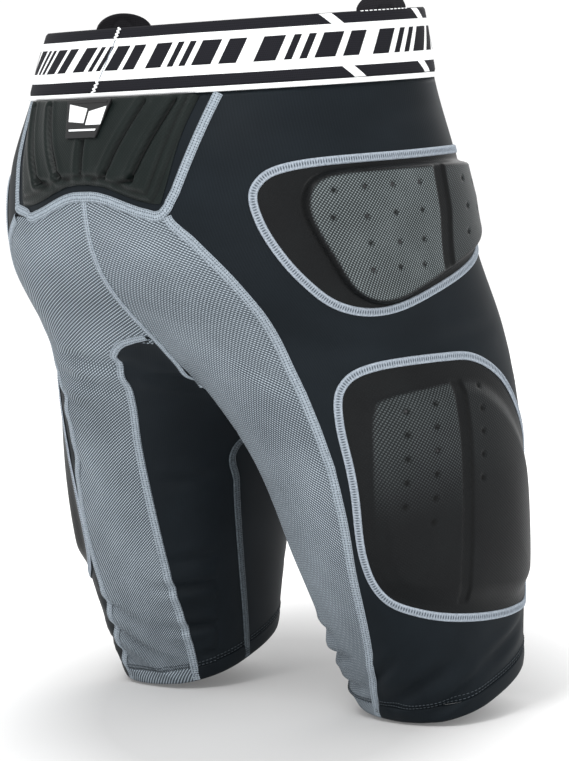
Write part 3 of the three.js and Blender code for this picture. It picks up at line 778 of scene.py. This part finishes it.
HIP = {
    "radius": 142,
    "pocket": [
        (-30, -101), (0, -101), (34, -103), (46, -115), (48, -140), (44, -180), (38, -202),
        (24, -207), (0, -195), (-30, -174), (-50, -152), (-54, -122), (-44, -104),
    ],
    "pad": [
        (-34, -112), (-4, -109), (22, -109), (31, -113), (35, -124), (36, -140), (34, -166),
        (32, -190), (27, -200), (19, -200), (8, -193), (-8, -181), (-28, -167), (-42, -150), (-45, -124),
    ],
    "height": 7.0,
    "edge": 5.0,
    "channel": [(-7, -100), (-6.5, -140), (-3.5, -196)],
    "channel_half": 5.0,
    "holes": [
        (28, -122), (19.5, -121), (11, -121), (1.5, -121), (30, -140), (21, -141), (12, -140),
        (2.5, -140), (22, -159), (13, -160), (4, -160), (24, -177), (15, -177), (6, -177),
        (-18, -122), (-18, -141), (-17, -159), (-28, -126), (-28, -144),
    ],
    "net": 1.0,
    "net_front": 0.35,
    "net_low": -330,
}
THIGH = {
    "radius": 86,
    "pocket": [
        (9, -244), (38, -245), (52, -256), (59, -280), (63, -320), (67, -364), (62, -390),
        (44, -405), (10, -422), (-25, -436), (-46, -440), (-56, -422), (-57, -380), (-52, -330),
        (-38, -292), (-24, -264), (-8, -248),
    ],
    "pad": [
        (47, -273), (40, -264), (14, -260), (-4, -262), (-18, -275), (-32, -300), (-44, -335),
        (-49, -380), (-48, -420), (-30, -428), (0, -416), (28, -404), (48, -395), (58, -384),
        (60, -366), (58, -330), (52, -294),
    ],
    "height": 4.3,
    "edge": 16.0,
    "channel": [(5.5, -256), (13, -325), (21.5, -412)],
    "channel_half": 4.2,
    "holes": [(34 + 2.5 * k, -276 - 14.6 * k) for k in range(5)]
    + [(21 + 2.4 * k, -274 - 14.6 * k) for k in range(6)]
    + [(-6 + 2.4 * k, -268 - 15 * k) for k in range(5)],
    # On the thigh the pale net, fading out down towards net_low, is partly real net knit and partly a painted
    # highlight on the pad's upper rear face.
    "net": 0.36,
    "net_front": 0.08,
    "net_low": -350,
}
HOLE_RADIUS = 1.9
HOLE_DEPTH = 1.3
CHANNEL_DEPTH = 1.5


def pocket_relief(kind, angle, z):
    """Height of the cover over the panel, how far it is inside the pocket and the pad, and its looks.

    The looks are its painted shade, in the pits, in the channel, along the channel's walls and under the
    pad's edge, and how far the pale net shows.
    """
    scale = kind["radius"] * RAD
    u, v = angle * scale, z
    pocket = closed_spline([(a * scale, h) for a, h in kind["pocket"]])
    pad = closed_spline([(a * scale, h) for a, h in kind["pad"]])
    in_pocket = depth_inside(pocket, u, v)
    in_pad = depth_inside(pad, u, v)
    height = 0.5 + kind["height"] * smooth((in_pad + 2.5) / kind["edge"]) + 1.6 * smooth(in_pad / 45)
    lines = sorted(kind["channel"], key=lambda spot: spot[1])
    middle = np.interp(v, [h for _, h in lines], [a * scale for a, _ in lines])
    off = u - middle
    half = kind["channel_half"]
    on_pad = smooth((in_pad + 1) / 4)
    cut = smooth((half + 0.9 - np.abs(off)) / 1.8) * on_pad
    height = height - CHANNEL_DEPTH * cut
    front_wall = np.exp(-(((off + half) / 0.9) ** 2)) * on_pad
    back_wall = np.exp(-(((off - half) / 0.7) ** 2)) * on_pad
    painted_shade = np.maximum(0.2 * cut, np.maximum(0.9 * front_wall, 0.45 * back_wall))
    painted_shade = np.maximum(painted_shade, 0.55 * np.exp(-(((in_pad + 0.5) / 2.0) ** 2)) * (kind["net"] > 0.9))
    for a, h in kind["holes"]:
        away = np.hypot(u - a * scale, v - h)
        pit = smooth(1.35 - away / HOLE_RADIUS * 0.9)
        height = height - HOLE_DEPTH * pit
        painted_shade = np.maximum(painted_shade, 0.95 * pit)
    rear = smooth((off - half) / 1.5)
    front = smooth((-off - half - 1) / 2.5)
    fade = smooth((v - kind["net_low"]) / 70)
    net = smooth((in_pad - 2.2) / 1.6) * fade * (kind["net"] * rear + kind["net_front"] * front)
    return height, in_pocket, in_pad, painted_shade, net


def whole_faces(inside):
    """True for each face of a grid whose four corners are all inside."""
    return inside[:-1, :-1] & inside[1:, :-1] & inside[:-1, 1:] & inside[1:, 1:]


def add_pocket(suffix, kind, name):
    side = SIDES[suffix]
    step = 1.3
    angles = [a for a, _ in kind["pocket"]]
    heights = [h for _, h in kind["pocket"]]
    columns = int((max(angles) - min(angles) + 4) * kind["radius"] * RAD / step)
    rows = int((max(heights) - min(heights) + 4) / step)
    angle, z = np.meshgrid(
        np.linspace(min(angles) - 2, max(angles) + 2, columns),
        np.linspace(max(heights) + 2, min(heights) - 2, rows),
    )
    height, in_pocket, in_pad, painted_shade, net = pocket_relief(kind, angle, z)
    heart = [side * 0.07, 0, float(z.mean()) * MM]
    uv = np.stack([angle * kind["radius"] * RAD * MM, z * MM], -1)
    cover = sheet_piece(
        name + "_cover_" + suffix, at(side, angle, z, height), [COVER], uv=uv,
        keep=whole_faces(in_pocket > -0.5), thick=0.5, marks={"painted_shade": painted_shade, "net": net}, inside=heart,
    )
    thigh(cover, suffix, "pocket_cover", name + "_pocket_" + suffix)
    # The foam slab inside follows the cover's shape a little below it.
    coarse = slice(None, None, 3)
    angle, z, height, in_pad = (grid[coarse, coarse] for grid in (angle, z, height, in_pad))
    slab = sheet_piece(
        name + "_foam_" + suffix, at(side, angle, z, height - 0.9), [FOAM], keep=whole_faces(in_pad > 1.5),
        thick=kind["height"] - 2.2, inside=heart,
    )
    thigh(slab, suffix, "foam", name + "_pad_" + suffix)
    outline = closed_spline(kind["pocket"], 400)
    points, normals = path_on(side, outline[:, 0], outline[:, 1])
    seam = flatlock(name + "_seam_" + suffix, points + normals * 0.6 * MM, normals, THREAD, width=6.2,
                    closed=True)
    thigh(seam, suffix, "seam_thread", name + "_pocket_seam_" + suffix)


# ---- Seams between panels ----
CENTRE_BACK_END = -262
CENTRE_FRONT_END = -284


def add_leg_seams(suffix):
    side = SIDES[suffix]
    seams = [  # name, edge, upper end, points, thread, width, nodes
        ("outer_seam", back_edges[side], YOKE_BOTTOM - 12, 160, CHAIN, 7.4, ["seat_seam", "leg_outer_seam"]),
        ("inner_back_seam", inner_back_edges[side], INNER_TOP[side] - 1, 120, CHAIN, 6.6,
         ["leg_inner_back_seam"]),
        ("inner_front_seam", inner_front_edge, CROTCH_Z - 2, 100, CHAIN_DARK, 6.0, ["leg_inner_front_seam"]),
        ("front_edge_seam", front_edge, PANEL_TOP - 1, 160, CHAIN_DARK, 6.0, []),
    ]
    for name, edge, top, count, thread, width, nodes in seams:
        z = np.linspace(top, HEM_Z + 1, count)
        seam = flatlock(f"{name}_{suffix}", *path_on(side, edge(z), z), thread, width)
        thigh(seam, suffix, "seam_thread", *(f"{node}_{suffix}" for node in nodes))


def add_centre_seams():
    for place, direction, top, bottom, count, thread in (
        ("back", 1, YOKE_BOTTOM, CENTRE_BACK_END, 100, CHAIN),
        ("front", -1, PANEL_TOP - 1, CENTRE_FRONT_END, 110, CHAIN_DARK),
    ):
        path = middle_path(direction, np.linspace(top, bottom, count))
        seam = flatlock(f"centre_{place}_stitching", *path, thread, 5.4)
        hips(seam, "seam_thread", f"centre_{place}_seam")


# ---- Lumbar pad and its yoke ----
YOKE_RADIUS = 135
YOKE_HEART = [0, 0, -0.09]
YOKE_CORNER = [(27.4, -130), (26.2, -132.6), (24.2, -133.4)]  # the seam's turn, as angle and height
PAD_INSET = 5.0  # degrees of plain cloth between the pad and the yoke's side seams
PAD_LIFT = 8  # plain cloth below the pad
FLANGE = 6.5
LUMBAR_CUT = 3.4
CHANNELS = [  # on one side, as distance from the middle and height
    [(0, -80), (0, -105)],
    [(47, -55), (21, -105)], [(21, -105), (11, -107)],
    [(70, -55), (43, -108)], [(43, -108), (32, -110)],
]


def back_grid(top, bottom, inset, step):
    """Distance from the middle and height over the back, between the two back edges."""
    half = int(100 / step)
    share = np.linspace(-1, 1, 2 * half + 1)
    heights = np.linspace(top, bottom, int((top - bottom) / step) + 1)
    share, z = np.meshgrid(share, heights)
    edge = np.where(share < 0, back_edges[-1](z), back_edges[1](z))
    return share * (middle_angle(z, 1) - edge - inset), z


def back_points(turn, z, offset):
    """Points on the back, turn degrees from the middle towards +X."""
    angle = middle_angle(z, 1) - np.abs(turn)
    points = (bare(angle, z) + outward(angle, z) * offset[..., None]) * MM
    points[..., 0] *= np.where(turn < 0, -1, 1)
    points[..., 0] = np.where(np.abs(turn) < 1e-9, 0, points[..., 0])
    return points


def add_yoke():
    turn, z = back_grid(PANEL_TOP, YOKE_BOTTOM, 0, 4)
    z = z + (yoke_low(turn) - YOKE_BOTTOM) * smooth((YOKE_BOTTOM + 40 - z) / 40)
    yoke = sheet_piece("lumbar_yoke", back_points(turn, z, 0 * z), [LYCRA], inside=YOKE_HEART)
    hips(yoke, "black_lycra", "lumbar_lining")


def add_lumbar_pad():
    """A moulded pad with a flange all round and channels that fan out upwards."""
    turn, z = back_grid(PANEL_TOP - 1.5, YOKE_BOTTOM + PAD_LIFT, PAD_INSET, 1.1)
    z = z + (yoke_low(turn) - YOKE_BOTTOM) * smooth((YOKE_BOTTOM + PAD_LIFT + 44 - z) / 44)
    u = np.abs(turn) * YOKE_RADIUS * RAD
    edge = np.where(turn < 0, back_edges[-1](z), back_edges[1](z))
    rim = (middle_angle(z, 1) - edge - PAD_INSET) * YOKE_RADIUS * RAD - u
    rim = np.minimum(np.minimum(rim, z - yoke_low(turn) - PAD_LIFT), PANEL_TOP + 6 - z)
    height = 0.6 + 2.6 * smooth((rim - 0.5) / 3) + 2.0 * smooth((rim - FLANGE) / 2.5) + 0.9 * smooth(rim / 34)
    # Painted shade on the flange's step and the pad's rim, and in each channel below.
    painted_shade = 0.6 * (np.exp(-(((rim - FLANGE) / 0.9) ** 2)) + 0.8 * np.exp(-(((rim - 0.6) / 0.9) ** 2)))
    for start, end in CHANNELS:
        away, _ = segment_distance(u, z, start, end)
        cut = np.exp(-((away / 2.0) ** 2)) * smooth((rim - 6) / 5)
        height = height - LUMBAR_CUT * cut + 0.7 * np.exp(-(((away - 4.6) / 2.2) ** 2))
        painted_shade = np.maximum(painted_shade, 0.95 * np.exp(-((away / 1.3) ** 2)))
    uv = np.stack([turn * YOKE_RADIUS * RAD * MM, z * MM], -1)
    pad = sheet_piece("lumbar_pad_moulding", back_points(turn, z, np.maximum(height, 0.4)), [MOULDED], uv=uv,
                      thick=0.5, marks={"painted_shade": painted_shade}, inside=YOKE_HEART)
    hips(pad, "moulded_foam", "lumbar_pad")


def add_yoke_seam():
    sides = np.linspace(PANEL_TOP - 1, YOKE_BOTTOM - 5, 40)
    under = np.linspace(22, 0, 24)
    half = {}
    for side in SIDES.values():
        down = [(middle_angle(h, 1) - back_edges[side](h), h) for h in sides]
        half[side] = np.array(down + YOKE_CORNER + [(t, float(yoke_low(t))) for t in under])
    ends = np.concatenate([half[-1] * [-1, 1], half[1][-2::-1]])
    spread = np.linspace(0, len(ends) - 1, 3 * len(ends))
    turns, heights = (curve_through(list(enumerate(ends[:, k])))(spread) for k in (0, 1))
    points = back_points(turns, heights, 0 * turns)
    normals = back_points(turns, heights, 0 * turns + 1) - points
    normals /= np.linalg.norm(normals, axis=1, keepdims=True)
    seam = flatlock("yoke_seam", points + normals * 0.3 * MM, normals, CHAIN, 7.4)
    hips(seam, "seam_thread", "lumbar_seam")


# ---- Badge ----
BADGE_SLOPE = math.atan2(0.3829, 0.9238)  # the back leans by this behind the badge
BADGE_TOP, BADGE_FOOT = 0.046, 0.031
RELIEF = [  # raised pieces on the plate, by their corners from the upper right round
    ("badge_rim", [(0.0205, 0.0125), (-0.0205, 0.0125), (-0.0198, 0.0113), (0.0198, 0.0113)], BADGE),
    ("badge_block_left", [(0.0205, 0.0085), (0.0035, 0.0050), (0.0030, -0.0050), (0.0185, -0.0050)],
     BADGE_PALE),
    ("badge_block_right", [(0.0010, 0.0072), (-0.0185, 0.0108), (-0.0155, -0.0022), (0.0005, -0.0036)],
     BADGE_PALE),
    ("badge_rule", [(0.0150, -0.0080), (-0.0135, -0.0080), (-0.0129, -0.0094), (0.0144, -0.0094)],
     BADGE_PALE),
]


def add_badge():
    low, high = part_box("label_patch")
    up = Vector((0, -math.sin(BADGE_SLOPE), math.cos(BADGE_SLOPE)))
    out = Vector((0, math.cos(BADGE_SLOPE), math.sin(BADGE_SLOPE)))
    centre = Vector((0, (low[1] + high[1]) / 2, (low[2] + high[2]) / 2))
    half = (high[2] - low[2]) / math.cos(BADGE_SLOPE) / 2

    def slab(name, corners, rise, thick, bevel, material):
        """A flat plate with an outline given in the badge's own plane, in metres."""
        bpy.ops.object.select_all(action="DESELECT")
        bpy.ops.mesh.primitive_cube_add(size=2)
        piece = bpy.context.object
        piece.name = name
        piece.data.materials.append(material)
        order = [(True, True), (False, True), (False, False), (True, False)]
        for vertex in piece.data.vertices:
            x, y = corners[order.index((vertex.co.x > 0, vertex.co.y > 0))]
            depth = rise if vertex.co.z > 0 else rise - thick
            vertex.co = centre + Vector((-x, 0, 0)) + up * y + out * depth
        bpy.ops.object.mode_set(mode="EDIT")
        bpy.ops.mesh.select_all(action="SELECT")
        bpy.ops.mesh.normals_make_consistent(inside=False)
        bpy.ops.object.mode_set(mode="OBJECT")
        edge = piece.modifiers.new("edge", "BEVEL")
        edge.width = bevel
        edge.segments = 3
        return finish_modifiers(piece)

    wide, narrow = BADGE_TOP / 2, BADGE_FOOT / 2
    outline = [(wide, half), (-wide, half), (-narrow, -half), (narrow, -half)]
    hips(slab("badge", outline, 0.0008, 0.0022, 0.0006, BADGE), "rubber_label", "label_patch")
    for name, corners, tone in RELIEF:
        hips(slab(name, corners, 0.0012, 0.0006, 0.00015, tone), "rubber_label")


# ---- Waistband, piping and pull tabs ----
TOP_STRIPE = 8.0
LOW_STRIPE = 8.5
WAIST_ROUND = 0.83
BAND_HEART = [0, 0, -0.02]


def band_face(turn, drop):
    """How far the band's face stands off the surface: rounded at its edges and slightly wavy."""
    ripple = 0.35 * np.sin(2 * np.pi * turn * 9) * np.sin(np.pi * drop / BAND_HEIGHT)
    return 1.8 - 1.0 * np.exp(-drop / 0.8) - 0.8 * np.exp(-(BAND_HEIGHT - drop) / 0.8) + ripple


def add_waistband():
    columns = 420
    turns = np.linspace(0, 1, columns + 1)[:-1]
    edges = [0, TOP_STRIPE, BAND_HEIGHT - LOW_STRIPE, BAND_HEIGHT]
    drops = np.unique(np.concatenate([np.linspace(a, b, 6) for a, b in zip(edges, edges[1:])]))
    turn, drop = np.meshgrid(turns, drops)
    points = around(turn, -drop, band_face(turn, drop))
    middle = (drops[:-1] + drops[1:]) / 2
    black = (middle < TOP_STRIPE) | (middle > BAND_HEIGHT - LOW_STRIPE)
    slots = np.broadcast_to(black[:, None].astype(int), (len(drops) - 1, columns))
    uv = np.stack([rows_apart(points), -drop * MM], -1)
    band = sheet_piece("waistband_elastic", points, [WHITE, BLACK], uv=uv, loop=True, thick=2.0, slots=slots,
                       inside=BAND_HEART)
    hips(band, "woven_elastic", "waistband")


def band_patch(corners_turn, corners_drop, lift=0.25, cuts=(14, 8)):
    """Points of a four-cornered patch on the band: turns in millimetres round, drops down."""
    a, b = np.meshgrid(np.linspace(0, 1, cuts[0]), np.linspace(0, 1, cuts[1]))
    round_mm, drop = (
        (c[0] * (1 - a) + c[1] * a) * (1 - b) + (c[3] * (1 - a) + c[2] * a) * b
        for c in (corners_turn, corners_drop)
    )
    turn = round_mm * MM / WAIST_ROUND
    return around(turn, -drop, band_face(turn, drop) + lift)


SLANT = 0.45  # how far a motif's stroke leans for each millimetre down
MOTIF_UNIT = 72.0
BAR_HIGH, BAR_LOW = 13.5, 30.5  # heights of the bars, from the band's top
MOTIF = [(2, 13), (20, 4.5), (29, 4.5), (38, 13), (56, 11)]  # bars of one repeat: start, width
BREAKS = [(0.698, 0.712), (0.787, 0.787)]  # places round the band in the upper and lower stripe
BREAK_HALF = 4
STRIPE_EDGE = 0.5  # how far a break stops short of the band's own edge


def joined(pieces, name):
    pick(*pieces)
    bpy.ops.object.join()
    pieces[0].name = name
    return pieces[0]


def add_motif():
    """Slanted bars woven into the white of the band, and slanted breaks in its black stripes."""
    bars = []
    units = int(WAIST_ROUND / MM / MOTIF_UNIT)
    pitch = WAIST_ROUND / MM / units
    for k in range(units):
        for start, width in MOTIF:
            first = k * pitch + start
            lean = (BAR_LOW - BAR_HIGH) * SLANT
            turns = [first + lean, first + width + lean, first + width, first]
            heights = [BAR_HIGH, BAR_HIGH, BAR_LOW, BAR_LOW]
            bars.append(sheet_piece("bar", band_patch(turns, heights), [BLACK], thick=0.3, inside=BAND_HEART))
    hips(joined(bars, "band_motif"), "woven_elastic")
    breaks = []
    for upper, lower in BREAKS + [(1 - a, 1 - b) for a, b in BREAKS]:
        for place, high, low in (
            (upper, STRIPE_EDGE, TOP_STRIPE), (lower, BAND_HEIGHT - LOW_STRIPE, BAND_HEIGHT - STRIPE_EDGE),
        ):
            centre = place * WAIST_ROUND / MM
            lean = (low - high) / 2
            turns = [centre + way * lean + half for way, half in (
                (-1, -BREAK_HALF), (-1, BREAK_HALF), (1, BREAK_HALF), (1, -BREAK_HALF))]
            patch = band_patch(turns, [high, high, low, low], 0.22, (6, 5))
            breaks.append(sheet_piece("break", patch, [WHITE], thick=0.3, inside=BAND_HEART))
    hips(joined(breaks, "stripe_breaks"), "woven_elastic")


def tube(name, points, radius, material, closed, sides=8):
    """A round thread or cord along points."""
    points = np.asarray(points)
    along = forward(points, closed)
    along /= np.linalg.norm(along, axis=1, keepdims=True)
    flat_out = points * [1, 1, 0]
    flat_out = flat_out - (flat_out * along).sum(1, keepdims=True) * along
    flat_out /= np.linalg.norm(flat_out, axis=1, keepdims=True)
    third = np.cross(along, flat_out)
    turns = np.linspace(0, 2 * np.pi, sides, endpoint=False)
    ring = points[None] + radius * (
        np.cos(turns)[:, None, None] * flat_out[None] + np.sin(turns)[:, None, None] * third[None]
    )
    vertices = ring.reshape(-1, 3)
    count = len(points)
    faces, uv = [], []
    for i in range(sides):
        for j in range(count if closed else count - 1):
            k, m = (i + 1) % sides, (j + 1) % count
            faces.append((i * count + j, k * count + j, k * count + m, i * count + m))
            uv += [(j * radius, i * radius), (j * radius, (i + 1) * radius),
                   ((j + 1) * radius, (i + 1) * radius), ((j + 1) * radius, i * radius)]
    piece = new_piece(name, vertices, faces, uv, [material])
    if not closed:
        pick(piece)
        bpy.ops.object.mode_set(mode="EDIT")
        bpy.ops.mesh.select_all(action="SELECT")
        bpy.ops.mesh.fill_holes(sides=sides)
        bpy.ops.mesh.normals_make_consistent(inside=False)
        bpy.ops.object.mode_set(mode="OBJECT")
    return piece


END_SLANT = 0.2  # how far the band's end leans for each millimetre down


def add_band_trim():
    turns = np.linspace(0, 1, 421)[:-1]
    z = np.full_like(turns, -(BAND_HEIGHT + PIPING_HEIGHT / 2))
    cord = tube("waist_piping_cord", around(turns, z, 1.2 + 0 * turns), 0.0019, WHITE, True, 10)
    hips(cord, "woven_elastic", "waist_piping")
    # The band's ends meet at the centre back, under a zigzag at each stripe.
    steps = 9
    zigzags = [
        ("upper", 0.8, TOP_STRIPE + 1.5), ("lower", BAND_HEIGHT - LOW_STRIPE - 1.5, BAND_HEIGHT),
    ]
    for name, high, low in zigzags:
        sway = np.where(np.arange(steps) % 2 == 0, -1.6, 1.6)
        dense = np.linspace(0, steps - 1, steps * 6)
        drop = np.interp(dense, np.arange(steps), np.linspace(high, low, steps))
        shift = np.interp(dense, np.arange(steps), sway) + (BAND_HEIGHT / 2 - drop) * END_SLANT
        path = around(0.5 + shift * MM / WAIST_ROUND, -drop, 2.5 + 0 * drop)
        hips(tube("band_zigzag_" + name, path, 0.00065, WHITE, False, 6), "woven_elastic")
    drop = np.linspace(TOP_STRIPE, BAND_HEIGHT - LOW_STRIPE, 40)
    shift = (BAND_HEIGHT / 2 - drop) * END_SLANT
    path = around(0.5 + shift * MM / WAIST_ROUND, -drop, 1.95 + 0 * drop)
    hips(tube("band_end_line", path, 0.00035, THREAD, False, 6), "seam_thread")


TAB_HALF = 23
TAB_RISE = 12.5
TAB_DEPTH = 22


def add_tab(name, middle_turn, node):
    """A folded webbing loop in the band, with a dashed line of stitches where it enters."""
    half = TAB_HALF * MM / WAIST_ROUND
    foot = -2
    a, b = np.meshgrid(np.linspace(-1, 1, 40), np.linspace(0, 1, 16))
    top = foot + (TAB_RISE - foot) * np.sqrt(np.clip(1 - a ** 2, 0, 1))
    z = top * (1 - b) - TAB_DEPTH * b
    fold = -0.5 * np.exp(-((top - z) / 1.5))
    apart = np.hypot(a * TAB_HALF, z - foot)  # distance from the middle of the loop's foot
    ridge = 0.9 * np.exp(-(((apart - 9.0) / 1.2) ** 2)) - 0.9 * np.exp(-(((apart - 6.0) / 1.0) ** 2))
    piece = sheet_piece(name, around(middle_turn + a * half, z, -0.6 + fold + ridge), [WEBBING], thick=2.0,
                        inside=BAND_HEART)
    hips(piece, "webbing", node)
    stitches = []
    for k in range(12):
        place = middle_turn + half * (-0.92 + 1.84 * (k + np.linspace(0.1, 0.72, 6)) / 12)
        path = around(place, np.zeros(6) - 0.25, 0.9 + 0 * place)
        stitches.append(tube("stitch", path, 0.0004, WHITE, False, 6))
    hips(joined(stitches, name + "_stitches"), "woven_elastic")


def add_hem_stitches(suffix):
    """Two rows of small stitches above the hem's fold."""
    side = SIDES[suffix]
    for row, height in enumerate((HEM_Z + HEM_HEIGHT + 1.5, HEM_Z + HEM_HEIGHT + 4.0)):
        stitches = []
        count = 130
        for k in range(count):
            turns = -180 + 360 * (k + np.linspace(0.12, 0.75, 4)) / count
            path = at(side, turns, np.full(4, height), 0.35)
            stitches.append(tube("stitch", path, 0.00035, HEM_THREAD, False, 5))
        thigh(joined(stitches, f"hem_stitches_{row}_{suffix}"), suffix, "seam_thread")


# ---- Stage: floor, light and camera ----
VIEW_AZIMUTH = 45.43  # the camera stands this far round from the back towards the right hip


def add_stage():
    bpy.ops.object.select_all(action="DESELECT")
    bpy.ops.mesh.primitive_plane_add(size=300, location=(0, 0, CAD_BOX[0][2] - 0.002))
    floor = bpy.context.object
    floor.name = "floor"
    material, tree, shader, _ = start_material("floor_with_painted_shadow", 0.95, 0.0)
    # A painted shadow: a soft grey pool on the white floor, long in the direction of the view.
    spot = add_node(tree, "ShaderNodeTexCoord", {}, "Object")
    shadow_pool = {"Vector": spot, "Location": (0.01, 0.01, 0), "Rotation": (0, 0, VIEW_AZIMUTH * RAD),
            "Scale": (0.27, 0.54, 1)}
    turned = add_node(tree, "ShaderNodeMapping", shadow_pool, vector_type="TEXTURE")
    away = add_node(tree, "ShaderNodeVectorMath", {0: turned}, "Value", operation="LENGTH")
    shades = [(0.45, "#c4c4c4"), (1.0, "#ffffff")]
    colour = add_node(tree, "ShaderNodeValToRGB", {"Fac": away}, stops=shades)
    tree.links.new(colour, shader.inputs["Base Color"])
    tree.links.new(colour, shader.inputs["Emission Color"])
    shader.inputs["Emission Strength"].default_value = 0.12
    floor.data.materials.append(material)
    # The studio's walls are white at the height of the object and dimmer overhead.
    world = bpy.data.worlds.new("studio")
    bpy.context.scene.world = world
    world.use_nodes = True
    tree = world.node_tree
    place = add_node(tree, "ShaderNodeTexCoord", {}, "Generated")
    height = add_node(tree, "ShaderNodeSeparateXYZ", {"Vector": place}, "Z")
    shades = [(0.12, "#ffffff"), (0.6, "#f0f0f0")]
    walls = add_node(tree, "ShaderNodeValToRGB", {"Fac": height}, stops=shades)
    tree.links.new(walls, tree.nodes["Background"].inputs["Color"])
    tree.nodes["Background"].inputs["Strength"].default_value = 1.04

    def lamp(name, place, size, power):
        data = bpy.data.lights.new(name, "AREA")
        data.size = size
        data.energy = power
        lamp_object = bpy.data.objects.new(name, data)
        target = Vector((0, 0, -0.25))
        lamp_object.location = place
        lamp_object.rotation_euler = (target - Vector(place)).to_track_quat("-Z", "Y").to_euler()
        bpy.context.scene.collection.objects.link(lamp_object)

    lamp("key", (-0.6, 1.7, 2.3), 0.9, 45)
    lamp("side", (-2.6, 0.2, 0.5), 1.4, 9)
    lamp("fill", (-1.6, 2.0, -0.1), 1.0, 8)
    lamp("front", (0.8, -2.4, 1.0), 1.8, 20)


def add_camera():
    """Behind the wearer's right hip, nearly level, with a long lens and a slight roll."""
    azimuth, elevation, roll = VIEW_AZIMUTH * RAD, 5.69 * RAD, -3.15 * RAD
    distance = 2.233
    back = Vector((-math.sin(azimuth) * math.cos(elevation), math.cos(azimuth) * math.cos(elevation),
                   math.sin(elevation)))
    right = (-back).cross(Vector((0, 0, 1))).normalized()
    up = right.cross(-back)
    target = right * 0.0128 + Vector((0, 0, -0.267))
    place = target + back * distance
    x_axis = right * math.cos(roll) + up * math.sin(roll)
    y_axis = up * math.cos(roll) - right * math.sin(roll)
    data = bpy.data.cameras.new("camera")
    data.sensor_fit = "VERTICAL"
    data.sensor_height = 36
    data.lens = 142.3
    camera = bpy.data.objects.new("camera", data)
    bpy.context.scene.collection.objects.link(camera)
    camera.matrix_world = Matrix((
        (x_axis.x, y_axis.x, back.x, place.x),
        (x_axis.y, y_axis.y, back.y, place.y),
        (x_axis.z, y_axis.z, back.z, place.z),
        (0, 0, 0, 1),
    ))
    bpy.context.scene.camera = camera


add_camera()
add_stage()
add_waistband()
add_motif()
add_band_trim()
add_tab("pull_loop_left", 0.23, "pull_tab_left")
add_tab("pull_loop_right", 0.748, "pull_tab_right")
add_yoke()
add_lumbar_pad()
add_yoke_seam()
add_badge()
add_centre_seams()
for suffix in SIDES:
    add_panels(suffix)
    add_pocket(suffix, HIP, "hip")
    add_pocket(suffix, THIGH, "thigh")
    add_leg_seams(suffix)
    add_hem(suffix)
    add_hem_stitches(suffix)
